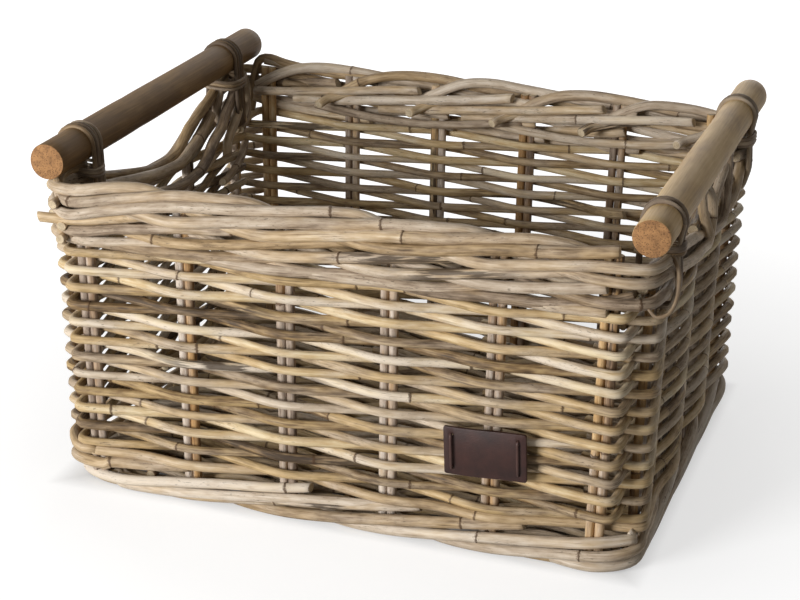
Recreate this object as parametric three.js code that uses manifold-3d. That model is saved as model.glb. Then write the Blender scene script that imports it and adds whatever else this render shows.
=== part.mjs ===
// Bicycle basket of grey-washed rattan cane: woven walls on paired stakes, a thick rim that dips at both
// ends, and two straight carrying poles lashed over the dips. Millimetres, +Z up, X along the basket.
import * as THREE from "three";
import { mergeVertices } from "three/addons/utils/BufferGeometryUtils.js";
import Module from "manifold-3d";

const wasm = await Module();
wasm.setup();

// Plan of the walls, measured between the lines that the stakes stand on, at the rim
const stakeLineLength = 404;
const stakeLineWidth = 324;
const wallFlare = 4; // how far each wall leans out between the base and the rim
const longWallPairs = 6;
const endWallPairs = 4;
const longPairInset = 20; // from the corner of the stake lines to the first pair of a long wall
const endPairInset = 25; // the same on an end wall

// Canes
const stakeDiameter = 6.6;
const weaverDiameter = 5.8;
const upsettDiameter = 7;
const rimDiameter = 7.2;
const frameDiameter = 9;
const fit = 0.3; // the clearance kept between canes that touch
const passSlack = 0.9; // a cane slants over both stakes of a pair, so it stands off a little more

// Rows
const fullRows = 11; // rows of weaving that go all the way round
const upsettRows = 3;
const rimCanes = 5;
const rowSpare = 1.2; // free height in a row of two rounds of cane

// Dips of the rim at the two ends
const dipCentre = -35; // the lowest point lies a little towards the front
const dipInset = 12; // from the corner of the stake lines to where the rim canes begin to run down

// Carrying poles and their lashings
const poleDiameter = 25;
const poleLength = 340;
const poleOutset = 3; // how far the pole's axis lies outside the stake line
const poleShift = 4; // the poles sit a little towards the back
const poleChamfer = 1;
const lashingClearance = 0.5; // between a lashing and the fold of the short row beside it
const lashingWidth = 6.4;
const lashingThickness = 1.8;
const collarHeight = 5;

// Base mat
const stickDiameter = 7;
const matCaneDiameter = 5.6;
const matPasses = 24;
const matMargin = 1.2;

// Leather label with its two laces
const labelWidth = 56;
const labelHeight = 34;
const labelThickness = 2;
const labelCorner = 3;
const labelPair = 5; // the pair of the front wall that the label covers, counted from the left
const labelFromPair = -4.5; // from that pair to the middle of the label
const labelCentreZ = 73;
const laceDiameter = 2;
const laceInset = 5.5; // from the label's left and right edges
const laceSpan = 24; // between a lace's two holes
const laceTail = 2.5; // how far a lace reaches behind the label

// Heights of the rows, built up from the ground
const frameTop = frameDiameter;
const upsettPitch = upsettDiameter + fit;
const weaveBottom = frameTop + upsettRows * upsettPitch + fit;
const rowPitch = 2 * weaverDiameter + rowSpare;
const endWeaveTop = weaveBottom + fullRows * rowPitch;
const weaveTop = endWeaveTop + rowPitch; // the long walls have one more row than the ends
const rimPitch = rimDiameter + fit;
const rimTop = weaveTop + rimCanes * rimPitch;
const poleAxisZ = rimTop + fit + poleDiameter / 2;

const colours = {
  stake: 0x9a8871,
  weaver: 0xa8977a,
  weaverPale: 0xc9b48a,
  rim: 0xbcab8d,
  pole: 0x75644c,
  lashing: 0x5e5040,
  leather: 0x3a2725,
  lace: 0x2c1d1b,
};

const basket = new THREE.Group();
basket.name = "cane_bicycle_basket";

function addPiece(name, geometry, colour, roughness = 0.75) {
  const material = new THREE.MeshStandardMaterial({ color: colour, roughness, metalness: 0 });
  const mesh = new THREE.Mesh(geometry, material);
  mesh.name = name;
  basket.add(mesh);
  return mesh;
}

// The share of its radius that a six-sided cane keeps above and below its middle, where it lies flat
const sixSidedFlat = Math.cos(Math.PI / 6);

// A cane along a row of points. Every section stands square to the cane and is widened across a bend,
// so the cane keeps its thickness. The direction "up" stays roughly square to the whole run.
function caneAlong(points, diameter, { sides = 6, closed = false, up = new THREE.Vector3(0, 0, 1) } = {}) {
  const count = points.length;
  const positions = [];
  const faces = [];
  points.forEach((point, i) => {
    const before = points[closed ? (i + count - 1) % count : Math.max(i - 1, 0)];
    const after = points[closed ? (i + 1) % count : Math.min(i + 1, count - 1)];
    const arriving = point.clone().sub(before).normalize();
    const leaving = after.clone().sub(point).normalize();
    const heading = arriving.clone().add(leaving).normalize();
    const across = new THREE.Vector3().crossVectors(heading, up).normalize();
    const rise = new THREE.Vector3().crossVectors(across, heading);
    const bothEnds = arriving.lengthSq() > 0 && leaving.lengthSq() > 0;
    const mitre = bothEnds ? Math.min(1 / Math.cos(arriving.angleTo(leaving) / 2), 1.4) : 1;
    for (let s = 0; s < sides; s++) {
      const angle = ((s + 0.5) / sides) * 2 * Math.PI + Math.PI / 2;
      const vertex = point
        .clone()
        .addScaledVector(across, (Math.cos(angle) * mitre * diameter) / 2)
        .addScaledVector(rise, (Math.sin(angle) * diameter) / 2);
      positions.push(vertex.x, vertex.y, vertex.z);
    }
  });
  const spans = closed ? count : count - 1;
  for (let i = 0; i < spans; i++) {
    for (let s = 0; s < sides; s++) {
      const a = i * sides + s;
      const b = i * sides + ((s + 1) % sides);
      const c = ((i + 1) % count) * sides + s;
      const d = ((i + 1) % count) * sides + ((s + 1) % sides);
      faces.push(a, d, b, a, c, d);
    }
  }
  if (!closed) {
    const last = (count - 1) * sides;
    for (let s = 1; s < sides - 1; s++) {
      faces.push(0, s, s + 1, last, last + s + 1, last + s);
    }
  }
  const geometry = new THREE.BufferGeometry();
  geometry.setAttribute("position", new THREE.Float32BufferAttribute(positions, 3));
  geometry.setIndex(faces);
  geometry.computeVertexNormals();
  return geometry;
}

function solidOf(geometry) {
  const bare = geometry.clone();
  bare.deleteAttribute("normal");
  bare.deleteAttribute("uv");
  const merged = mergeVertices(bare, 1e-4);
  return new wasm.Manifold(
    new wasm.Mesh({
      numProp: 3,
      vertProperties: merged.attributes.position.array,
      triVerts: new Uint32Array(merged.index.array),
    }),
  );
}

function geometryOf(solid) {
  const mesh = solid.getMesh();
  const geometry = new THREE.BufferGeometry();
  geometry.setAttribute("position", new THREE.Float32BufferAttribute(mesh.vertProperties, 3));
  geometry.setIndex(new THREE.Uint32BufferAttribute(mesh.triVerts, 1));
  geometry.computeVertexNormals();
  return geometry;
}

// The stakes in order round the basket, seen from above and counterclockwise from the front left corner.
// Each has its wall's outward direction and the direction of travel along the wall.
const walls = [
  { name: "front", pairs: longWallPairs, out: [0, -1], along: [1, 0] },
  { name: "right", pairs: endWallPairs, out: [1, 0], along: [0, 1] },
  { name: "back", pairs: longWallPairs, out: [0, 1], along: [-1, 0] },
  { name: "left", pairs: endWallPairs, out: [-1, 0], along: [0, -1] },
];
const stakes = [];
for (const wall of walls) {
  for (let i = 0; i < wall.pairs; i++) {
    stakes.push({
      wall: wall.name,
      place: i + 1,
      share: wall.pairs > 1 ? (2 * i) / (wall.pairs - 1) - 1 : 0,
      out: new THREE.Vector3(...wall.out, 0),
      along: new THREE.Vector3(...wall.along, 0),
      long: wall.along[0] !== 0,
    });
  }
}

// How far the stake lines stand in from their rim position at a height
function leanAt(z) {
  return (wallFlare * (rimTop - z)) / (rimTop - frameTop);
}

function stakeAt(stake, z) {
  const halfLength = stakeLineLength / 2 - leanAt(z);
  const halfWidth = stakeLineWidth / 2 - leanAt(z);
  const reachOut = stake.long ? halfWidth : halfLength;
  const reachAlong = stake.long ? halfLength - longPairInset : halfWidth - endPairInset;
  return new THREE.Vector3(0, 0, z)
    .addScaledVector(stake.out, reachOut)
    .addScaledVector(stake.along, stake.share * reachAlong);
}

function standOff(diameter) {
  return (stakeDiameter + diameter) / 2 + fit + passSlack;
}

// Half the distance between the two canes of a pair, and how far past the pair's middle a cane that folds
// round it reaches. The lashings sit just inside the fold round the first and the last end pair.
const pairHalf = 0.48 * stakeDiameter;
const foldReach = pairHalf + (stakeDiameter + weaverDiameter) / 2 + fit;
const endPairLine = stakeLineWidth / 2 - leanAt(endWeaveTop + rowPitch / 2) - endPairInset;
const lashingPosition = endPairLine - foldReach - (weaverDiameter + lashingWidth) / 2 - lashingClearance;

// A point just past a stake at a basket corner, where a cane that runs outside turns round the corner
function besideStake(stake, direction, z, diameter) {
  return stakeAt(stake, z)
    .addScaledVector(stake.along, direction * (stakeDiameter + diameter / 2 + 2 * fit))
    .addScaledVector(stake.out, 0.95 * standOff(diameter));
}

// One cane in and out of the stakes it is given. side(n) is +1 where it passes outside the n-th stake and
// -1 where it passes inside, and level(n) is its height there.
function wovenPoints(run, side, level, diameter, { closed = false } = {}) {
  const points = [];
  const count = run.length;
  run.forEach((stake, n) => {
    points.push(stakeAt(stake, level(n)).addScaledVector(stake.out, side(n) * standOff(diameter)));
    if (!closed && n === count - 1) return;
    const following = (n + 1) % count;
    const next = run[following];
    if (stake.wall === next.wall) return;
    if (side(n) > 0) points.push(besideStake(stake, 1, level(n), diameter));
    if (side(following) > 0) points.push(besideStake(next, -1, level(following), diameter));
  });
  return points;
}

// The rim canes run in a column along the long walls. Over the ends they spread side by side and run down
// into a flat bundle of three with two on top.
const bundle = [
  { across: 1, level: 0 },
  { across: -1, level: 0 },
  { across: 0, level: 0 },
  { across: 0.5, level: 1 },
  { across: -0.5, level: 1 },
];
const bundleStep = (rimPitch * Math.sqrt(3)) / 2;
const dipEnd = stakeLineWidth / 2 - dipInset;
const dipStart = -dipEnd;

function rimLevel(j) {
  return weaveTop + fit / 2 + (j + 0.5) * rimPitch;
}

function dipShare(y) {
  const progress = y < dipCentre ? (y - dipStart) / (dipCentre - dipStart) : (dipEnd - y) / (dipEnd - dipCentre);
  return Math.sin((Math.min(Math.max(progress, 0), 1) * Math.PI) / 2);
}

function rimAtEnd(j, endSide, y) {
  const place = bundle[j % bundle.length];
  const packed = endWeaveTop + fit + rimDiameter / 2 + place.level * bundleStep;
  const z = THREE.MathUtils.lerp(rimLevel(j), packed, dipShare(y));
  return new THREE.Vector3(endSide * (stakeLineLength / 2 + place.across * rimPitch), y, z);
}

// Base: a frame of one thick cane, sticks from front to back and one long cane woven over and under them
const frameLine = {
  halfLength: stakeLineLength / 2 - wallFlare,
  halfWidth: stakeLineWidth / 2 - wallFlare,
};
const framePoints = [];
const frameCorner = (longPairInset + endPairInset) / 2;
for (const [sx, sy] of [[1, -1], [1, 1], [-1, 1], [-1, -1]]) {
  for (let k = 0; k <= 3; k++) {
    const turn = (k / 3) * (Math.PI / 2);
    const ahead = sx * sy < 0 ? Math.sin(turn) : Math.cos(turn);
    const aside = sx * sy < 0 ? Math.cos(turn) : Math.sin(turn);
    framePoints.push(
      new THREE.Vector3(
        sx * (frameLine.halfLength - frameCorner * (1 - ahead)),
        sy * (frameLine.halfWidth - frameCorner * (1 - aside)),
        frameDiameter / 2,
      ),
    );
  }
}
addPiece("base_frame", caneAlong(framePoints, frameDiameter, { sides: 8, closed: true }), colours.rim);

const matRise = ((stickDiameter + matCaneDiameter) / 2) * sixSidedFlat + 2 * fit;
const stickZ = (matCaneDiameter / 2) * sixSidedFlat + fit + matRise;
const stickCount = longWallPairs - 1;
const stickHalf = frameLine.halfWidth - frameDiameter / 2 - fit;
const stickPitch = (2 * (frameLine.halfLength - longPairInset)) / stickCount;
const stickPlaces = [];
for (let i = 0; i < stickCount; i++) {
  const x = (i - (stickCount - 1) / 2) * stickPitch;
  stickPlaces.push(x);
  const ends = [new THREE.Vector3(x, -stickHalf, stickZ), new THREE.Vector3(x, stickHalf, stickZ)];
  addPiece(`base_stick_${i + 1}`, caneAlong(ends, stickDiameter), colours.stake);
}

const insideOfUpsett = standOff(upsettDiameter) + upsettDiameter / 2 + matCaneDiameter / 2 + matMargin;
const matHalfLength = frameLine.halfLength - insideOfUpsett;
const matHalfWidth = frameLine.halfWidth - insideOfUpsett;
const matPoints = [];
for (let pass = 0; pass < matPasses; pass++) {
  const y = -matHalfWidth + (2 * matHalfWidth * pass) / (matPasses - 1);
  const heading = pass % 2 === 0 ? 1 : -1;
  matPoints.push(new THREE.Vector3(-heading * matHalfLength, y, stickZ));
  for (let i = 0; i < stickCount; i++) {
    const stick = heading > 0 ? i : stickCount - 1 - i;
    const over = (stick + pass) % 2 === 0 ? 1 : -1;
    matPoints.push(new THREE.Vector3(stickPlaces[stick], y, stickZ + over * matRise));
  }
  matPoints.push(new THREE.Vector3(heading * matHalfLength, y, stickZ));
}
addPiece("base_weaver", caneAlong(matPoints, matCaneDiameter), colours.weaver);

// Stake pairs: two canes side by side, on the base frame and up into the rim
const pairOutline = new THREE.Shape();
const meeting = Math.acos(-pairHalf / (stakeDiameter / 2));
for (const side of [1, -1]) {
  for (let k = 0; k < 6; k++) {
    const angle = (side > 0 ? 0 : Math.PI) - meeting + (2 * meeting * k) / 6;
    const x = side * pairHalf + (Math.cos(angle) * stakeDiameter) / 2;
    const y = (Math.sin(angle) * stakeDiameter) / 2;
    if (side > 0 && k === 0) pairOutline.moveTo(x, y);
    else pairOutline.lineTo(x, y);
  }
}

// The heads of the long walls' stakes are bent over. One cane of a pair rises over the gap to the next pair,
// comes down inside that pair and ends there. The last one before a corner is cut off short.
const bendStart = rimTop - 2.5 * stakeDiameter;
const insideStake = standOff(stakeDiameter) + 2 * fit;

function bentHead(stake, shortened) {
  const gap = stakeAt(stakes[1], rimTop).distanceTo(stakeAt(stakes[0], rimTop));
  const path = [
    [pairHalf, -2.5, 0],
    [pairHalf, -1.25, 0],
    [pairHalf + 1.3 * stakeDiameter, -0.26, 0.1],
    [gap / 2, 0.35, 0.12],
    [gap - 2.8 * stakeDiameter, -0.1, -0.4],
    [gap - 1.5 * stakeDiameter, -0.42, -0.75],
  ];
  if (shortened) {
    path.push([gap - 0.6 * stakeDiameter, -0.8, -1.25]);
  } else {
    path.push([gap, -0.86, -insideStake / stakeDiameter]);
    path.push([gap + 1.65 * stakeDiameter, -1.7, -2.05]);
    path.push([gap + 2.9 * stakeDiameter, -2.38, -2.72]);
  }
  const points = path.map(([ahead, up, outward]) =>
    stakeAt(stake, rimTop + up * stakeDiameter)
      .addScaledVector(stake.along, ahead)
      .addScaledVector(stake.out, outward * stakeDiameter),
  );
  return caneAlong(points, stakeDiameter, { up: stake.out });
}

function stakeTop(stake) {
  if (stake.long) return stake.place < longWallPairs ? bendStart + stakeDiameter : rimTop - fit;
  const middle = stakeAt(stake, endWeaveTop).y;
  const above = [-1, 1].map((edge) => rimAtEnd(2, 1, middle + edge * stakeDiameter).z);
  return Math.min(...above) - rimDiameter / 2 - 2 * fit;
}

for (const stake of stakes) {
  const foot = stakeAt(stake, frameTop + fit);
  const head = stakeAt(stake, stakeTop(stake));
  const axis = head.clone().sub(foot);
  const length = axis.length();
  axis.normalize();
  const inward = new THREE.Vector3().crossVectors(axis, stake.along).normalize();
  const along = new THREE.Vector3().crossVectors(inward, axis);
  const geometry = new THREE.ExtrudeGeometry(pairOutline, { depth: length, bevelEnabled: false, steps: 1 });
  geometry.applyMatrix4(new THREE.Matrix4().makeBasis(along, inward, axis).setPosition(foot));
  const bent = stake.long && stake.place < longWallPairs;
  const bend = bent ? bentHead(stake, stake.place === longWallPairs - 1) : null;
  const whole = bend ? geometryOf(solidOf(geometry).add(solidOf(bend))) : geometry;
  addPiece(`stake_pair_${stake.wall}_${stake.place}`, whole, colours.stake);
}

// Upsett: thick canes, each outside of two pairs and inside of the next
for (let row = 0; row < upsettRows; row++) {
  const z = frameTop + fit + upsettDiameter / 2 + row * upsettPitch;
  const side = (n) => (n % 3 === row % 3 ? -1 : 1);
  const points = wovenPoints(stakes, side, () => z, upsettDiameter, { closed: true });
  addPiece(`upsett_row_${row + 1}`, caneAlong(points, upsettDiameter, { closed: true }), colours.rim);
}

// Weaving: each row is one long cane that goes twice round. The first round passes outside every other pair,
// and the second lies on the first and passes outside the pairs between. The step up is at a back corner.
const strandStep = rowPitch / 4; // of each round from the middle of its row
const seam = stakes.findIndex((stake) => stake.wall === "left");
const oneRound = [...stakes.slice(seam), ...stakes.slice(0, seam)];
const twiceRound = [...oneRound, ...oneRound];
for (let row = 0; row < fullRows; row++) {
  const z = weaveBottom + (row + 0.5) * rowPitch;
  const secondRound = (n) => n >= stakes.length;
  const level = (n) => z + (secondRound(n) ? strandStep : -strandStep);
  const side = (n) => ((n + seam + (secondRound(n) ? 1 : 0)) % 2 === 0 ? 1 : -1);
  const points = wovenPoints(twiceRound, side, level, weaverDiameter, { closed: true });
  const name = `weave_row_${String(row + 1).padStart(2, "0")}`;
  const colour = row % 3 === 0 ? colours.weaverPale : colours.weaver;
  addPiece(name, caneAlong(points, weaverDiameter, { closed: true }), colour);
}

// The top row of each long wall: the cane runs along the wall, folds round the first end pair and comes back
for (const wall of ["front", "back"]) {
  const first = stakes.findIndex((stake) => stake.wall === wall);
  const before = stakes[(first + stakes.length - 1) % stakes.length];
  const after = stakes[(first + longWallPairs) % stakes.length];
  const run = [before, ...stakes.slice(first, first + longWallPairs), after];
  const z = endWeaveTop + rowPitch / 2;
  const low = z - strandStep;
  const high = z + strandStep;
  const folded = z - fit; // the fold stays below the rim, which has begun to dip
  const atPair = (stake, side, level, past = 0) =>
    stakeAt(stake, level)
      .addScaledVector(stake.along, past * foldReach)
      .addScaledVector(stake.out, side * standOff(weaverDiameter));
  const lower = wovenPoints(run, (n) => (n % 2 === 1 ? 1 : -1), () => low, weaverDiameter);
  const upper = wovenPoints(run, (n) => (n % 2 === 1 ? -1 : 1), () => high, weaverDiameter);
  upper[0] = atPair(before, 1, folded);
  upper[1].z -= 2 * fit;
  const lastSide = run.length % 2 === 0 ? 1 : -1;
  const points = [
    atPair(after, -lastSide, high, 1),
    ...upper.reverse(),
    atPair(before, 1, folded, -1),
    atPair(before, -1, low, -1),
    ...lower,
    atPair(after, lastSide, low, 1),
  ];
  const name = `weave_row_${fullRows + 1}_${wall}`;
  addPiece(name, caneAlong(points, weaverDiameter), colours.weaver);
}

// Rim canes. They lie outside the stakes of the long walls, below the bent heads that hold them.
for (let j = 0; j < rimCanes; j++) {
  const points = [];
  const z = rimLevel(j);
  for (const wall of walls) {
    const run = stakes.filter((stake) => stake.wall === wall.name);
    if (run[0].long) {
      points.push(besideStake(run[0], -1, z, rimDiameter));
      for (const stake of run) {
        points.push(stakeAt(stake, z).addScaledVector(stake.out, standOff(rimDiameter)));
      }
      points.push(besideStake(run[run.length - 1], 1, z, rimDiameter));
    } else {
      const endSide = wall.out[0];
      const rear = dipEnd - dipCentre;
      const places = [
        dipStart,
        -lashingPosition,
        (dipStart + 2 * dipCentre) / 3,
        dipCentre,
        dipCentre + 0.3 * rear,
        dipCentre + 0.6 * rear,
        lashingPosition,
        dipEnd,
      ];
      if (endSide < 0) places.reverse();
      for (const y of places) points.push(rimAtEnd(j, endSide, y));
    }
  }
  addPiece(`rim_cane_${j + 1}`, caneAlong(points, rimDiameter, { closed: true }), colours.rim);
}

// Inside each long wall one more rim cane runs along the stakes, folds back and returns below itself
for (const wall of ["front", "back"]) {
  const run = stakes.filter((stake) => stake.wall === wall);
  const first = run[0];
  const last = run[run.length - 1];
  const reach = rimDiameter / 2;
  const lane = (stake, j, past) =>
    stakeAt(stake, rimLevel(j))
      .addScaledVector(stake.along, past)
      .addScaledVector(stake.out, -(stakeDiameter + rimDiameter * sixSidedFlat) / 2 - fit);
  const points = [
    lane(last, 2, reach),
    ...run.slice(1, -1).reverse().map((stake) => lane(stake, 2, 0)),
    lane(first, 2, -reach),
    lane(first, 1, -reach),
    ...run.slice(1, -1).map((stake) => lane(stake, 1, 0)),
    lane(last, 1, reach),
  ];
  addPiece(`rim_inner_${wall}`, caneAlong(points, rimDiameter, { up: first.out }), colours.rim);
}

// Carrying poles and lashings
const poleX = stakeLineLength / 2 + poleOutset;
const poleProfile = [
  new THREE.Vector2(0, -poleLength / 2),
  new THREE.Vector2(poleDiameter / 2 - poleChamfer, -poleLength / 2),
  new THREE.Vector2(poleDiameter / 2, -poleLength / 2 + poleChamfer),
  new THREE.Vector2(poleDiameter / 2, poleLength / 2 - poleChamfer),
  new THREE.Vector2(poleDiameter / 2 - poleChamfer, poleLength / 2),
  new THREE.Vector2(0, poleLength / 2),
];

// A band round the pole and the rim bundle below it, drawn in the X-Z plane about x = 0. It runs almost
// level under the three lowest canes and turns up closely at both sides.
function lashingOutline(extra, endY) {
  const poleRadius = poleDiameter / 2 + fit + extra;
  const bundleReach = rimPitch + rimDiameter / 2 + 2 * fit + extra;
  const bundleDepth = rimDiameter / 2 + 2 * fit + extra;
  const bottomZ = rimAtEnd(0, 1, endY).z;
  const points = [];
  for (let k = 0; k <= 10; k++) {
    const angle = (k / 10) * Math.PI;
    points.push(
      new THREE.Vector2(poleOutset + poleRadius * Math.cos(angle), poleAxisZ + poleRadius * Math.sin(angle)),
    );
  }
  for (let k = 0; k <= 8; k++) {
    const angle = Math.PI + (k / 8) * Math.PI;
    const across = Math.sign(Math.cos(angle)) * Math.sqrt(Math.abs(Math.cos(angle)));
    const down = Math.sqrt(Math.abs(Math.sin(angle)));
    points.push(new THREE.Vector2(bundleReach * across, bottomZ - bundleDepth * down));
  }
  return points;
}

function bandOf(outline, hole, depth) {
  const shape = new THREE.Shape(outline);
  shape.holes.push(new THREE.Path(hole));
  return new THREE.ExtrudeGeometry(shape, { depth, bevelEnabled: false, steps: 1 });
}

function rectangle(left, right, halfDepth) {
  return [
    new THREE.Vector2(left, -halfDepth),
    new THREE.Vector2(right, -halfDepth),
    new THREE.Vector2(right, halfDepth),
    new THREE.Vector2(left, halfDepth),
  ];
}

function lashing(endSide, endY) {
  const loop = bandOf(lashingOutline(lashingThickness, endY), lashingOutline(0, endY), lashingWidth);
  loop.translate(0, 0, -lashingWidth / 2).rotateX(Math.PI / 2);
  const collarZ = poleAxisZ - poleDiameter / 2 - fit - collarHeight / 2;
  const left = -(rimPitch + rimDiameter / 2 + 2 * fit + lashingThickness);
  const right = poleOutset + poleDiameter / 2 + fit + lashingThickness;
  const grip = 2 * fit; // how far the collar bites into the legs of the band, so that they are one cane
  const collar = bandOf(
    rectangle(left - lashingThickness, right + lashingThickness, lashingWidth / 2 + lashingThickness),
    rectangle(left + grip, right - grip, lashingWidth / 2 - grip),
    collarHeight,
  );
  collar.translate(0, 0, collarZ - collarHeight / 2);
  const whole = solidOf(loop).add(solidOf(collar));
  const geometry = geometryOf(whole);
  if (endSide < 0) geometry.rotateZ(Math.PI);
  return geometry.translate((endSide * stakeLineLength) / 2, endY, 0);
}

for (const [endName, endSide] of [["left", -1], ["right", 1]]) {
  const pole = new THREE.LatheGeometry(poleProfile, 20);
  pole.translate(endSide * poleX, poleShift, poleAxisZ);
  addPiece(`carry_pole_${endName}`, pole, colours.pole, 0.6);
  for (const [place, y] of [["front", -lashingPosition], ["back", lashingPosition]]) {
    addPiece(`lashing_${place}_${endName}`, lashing(endSide, y), colours.lashing);
  }
}

// Leather label over the weaving of the front wall, held by two laces
const coveredPair = stakes.find((stake) => stake.wall === "front" && stake.place === labelPair);
const labelCentreX = stakeAt(coveredPair, labelCentreZ).x + labelFromPair;
const labelFrame = new THREE.Matrix4()
  .makeRotationX(Math.PI / 2 + Math.atan(wallFlare / (rimTop - frameTop)))
  .setPosition(
    labelCentreX,
    -(stakeLineWidth / 2 - leanAt(labelCentreZ) + standOff(weaverDiameter) + weaverDiameter / 2 + 2 * fit),
    labelCentreZ,
  );
const halfW = labelWidth / 2;
const halfH = labelHeight / 2;
const labelShape = new THREE.Shape();
for (const [sx, sy, start] of [[1, -1, 1.5], [1, 1, 0], [-1, 1, 0.5], [-1, -1, 1]]) {
  const cx = sx * (halfW - labelCorner);
  const cy = sy * (halfH - labelCorner);
  labelShape.absarc(cx, cy, labelCorner, start * Math.PI, (start + 0.5) * Math.PI, false);
}
const laceX = halfW - laceInset;
for (const sx of [1, -1]) {
  for (const sy of [1, -1]) {
    const hole = new THREE.Path();
    hole.absarc(sx * laceX, (sy * laceSpan) / 2, laceDiameter / 2 + fit, 0, 2 * Math.PI, true);
    labelShape.holes.push(hole);
  }
}
const label = new THREE.ExtrudeGeometry(labelShape, {
  depth: labelThickness,
  bevelEnabled: false,
  curveSegments: 4,
  steps: 1,
});
label.applyMatrix4(labelFrame);
addPiece("leather_label", label, colours.leather, 0.55);

const laceFront = labelThickness + fit + laceDiameter / 2;
for (const [name, sx] of [["left", -1], ["right", 1]]) {
  const points = [
    new THREE.Vector3(sx * laceX, -laceSpan / 2, -laceTail),
    new THREE.Vector3(sx * laceX, -laceSpan / 2, laceFront),
    new THREE.Vector3(sx * laceX, laceSpan / 2, laceFront),
    new THREE.Vector3(sx * laceX, laceSpan / 2, -laceTail),
  ];
  const lace = caneAlong(points, laceDiameter, { up: new THREE.Vector3(1, 0, 0) });
  lace.applyMatrix4(labelFrame);
  addPiece(`label_lace_${name}`, lace, colours.lace, 0.6);
}

// The origin goes to the middle of the footprint, on the ground
const bounds = new THREE.Box3().setFromObject(basket);
const middle = bounds.getCenter(new THREE.Vector3());
for (const mesh of basket.children) mesh.geometry.translate(-middle.x, -middle.y, -bounds.min.z);

export default basket;
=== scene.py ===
# %% [markdown]
# # A bicycle basket of grey-washed rattan cane
# Rattan is a climbing palm. Its stems are solid and very long, with a thin ring at every node, and they bend
# without breaking when they are soaked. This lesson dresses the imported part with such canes: each one is a
# tube that follows its own way in and out of the stakes, with its nodes, its grain and its cut ends. Nothing
# of it is moved.

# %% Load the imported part
import math
import bpy
import numpy as np
from mathutils import Matrix, Vector


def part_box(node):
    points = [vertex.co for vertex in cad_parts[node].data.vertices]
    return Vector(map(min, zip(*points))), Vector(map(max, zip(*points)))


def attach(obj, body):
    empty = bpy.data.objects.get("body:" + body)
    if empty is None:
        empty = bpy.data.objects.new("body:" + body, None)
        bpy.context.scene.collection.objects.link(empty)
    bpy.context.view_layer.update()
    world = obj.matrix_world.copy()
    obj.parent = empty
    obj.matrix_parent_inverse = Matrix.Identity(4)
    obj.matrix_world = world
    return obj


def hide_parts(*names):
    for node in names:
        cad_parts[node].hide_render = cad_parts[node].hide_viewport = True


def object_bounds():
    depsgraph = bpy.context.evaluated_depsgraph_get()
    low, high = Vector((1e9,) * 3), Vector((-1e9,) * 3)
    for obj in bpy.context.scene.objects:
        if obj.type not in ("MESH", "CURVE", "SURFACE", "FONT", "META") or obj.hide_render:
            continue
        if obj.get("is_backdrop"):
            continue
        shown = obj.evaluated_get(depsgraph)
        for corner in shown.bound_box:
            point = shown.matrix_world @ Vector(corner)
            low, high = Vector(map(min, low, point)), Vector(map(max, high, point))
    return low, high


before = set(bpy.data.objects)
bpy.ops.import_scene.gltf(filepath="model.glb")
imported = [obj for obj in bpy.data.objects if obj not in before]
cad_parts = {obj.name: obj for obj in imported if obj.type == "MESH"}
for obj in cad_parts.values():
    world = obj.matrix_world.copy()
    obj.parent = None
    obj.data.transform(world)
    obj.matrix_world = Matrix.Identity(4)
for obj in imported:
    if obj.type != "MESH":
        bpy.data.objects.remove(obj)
cad_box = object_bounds()
scene = bpy.context.scene
MM = 0.001
print("The packed part has", len(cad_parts), "nodes")

# %% [markdown]
# ## The camera
# The photograph was taken from the front right and from above, with a long lens. The direction, the distance
# and the lens were worked out from the ends of the poles, the stakes and the edges of the basket.
# A camera looks along its own -Z, so its three axes are set as the columns of a matrix.

# %% Camera
AZIMUTH, ELEVATION, ROLL = (math.radians(v) for v in (18.788, 21.664, 0.9))
DISTANCE, FOCAL_PIXELS, PHOTO_WIDTH = 1.4812, 2021.5, 800
LOOK_AT = Vector((-0.01145, 0.0, 0.10265))
back = Vector((math.sin(AZIMUTH) * math.cos(ELEVATION), -math.cos(AZIMUTH) * math.cos(ELEVATION),
               math.sin(ELEVATION)))
level = Vector((0, 0, 1)).cross(back).normalized()
upward = back.cross(level)
right = level * math.cos(ROLL) + upward * math.sin(ROLL)
upward = upward * math.cos(ROLL) - level * math.sin(ROLL)
bpy.ops.object.camera_add()
camera = bpy.context.object
camera.name = "camera"
turned = Matrix((right, upward, back)).transposed()
camera.matrix_world = Matrix.Translation(LOOK_AT + back * DISTANCE) @ turned.to_4x4()
camera.data.lens = FOCAL_PIXELS * camera.data.sensor_width / PHOTO_WIDTH
camera.data.clip_start, camera.data.clip_end = 0.05, 30
scene.camera = camera
print(f"The lens is {camera.data.lens:.0f} mm")

# %% [markdown]
# ## Where the canes go
# The stakes stand in pairs on two straight lines along the walls. Their places repeat the part's own sizes,
# in millimetres, so that each weaving cane can be led past them, +1 outside a pair and -1 inside.

# %% Places of the stakes and rows, in millimetres
LINE_LENGTH, LINE_WIDTH, FLARE = 404.0, 324.0, 4.0
LONG_PAIRS, END_PAIRS, LONG_INSET, END_INSET = 6, 4, 20.0, 25.0
STAKE, WEAVER, UPSETT, RIM, FIT, SLACK = 6.6, 5.8, 7.0, 7.2, 0.3, 0.9
FRAME_TOP, WEAVE_BOTTOM, FULL_ROWS, ROW_PITCH = 9.0, 31.2, 11, 12.8
END_TOP = WEAVE_BOTTOM + FULL_ROWS * ROW_PITCH
WEAVE_TOP = END_TOP + ROW_PITCH
RIM_PITCH, RIM_CANES = 7.5, 5
RIM_TOP = WEAVE_TOP + RIM_CANES * RIM_PITCH
POLE_X, POLE_RADIUS, LASHING_Y = 205.0, 12.5, 119.9
POLE_Z = RIM_TOP + FIT + POLE_RADIUS
DIP_CENTRE, DIP_END = -35.0, 150.0
SHIFT = np.array([0.0, 0.32, -0.34])  # the part was set on the middle of its footprint

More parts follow.
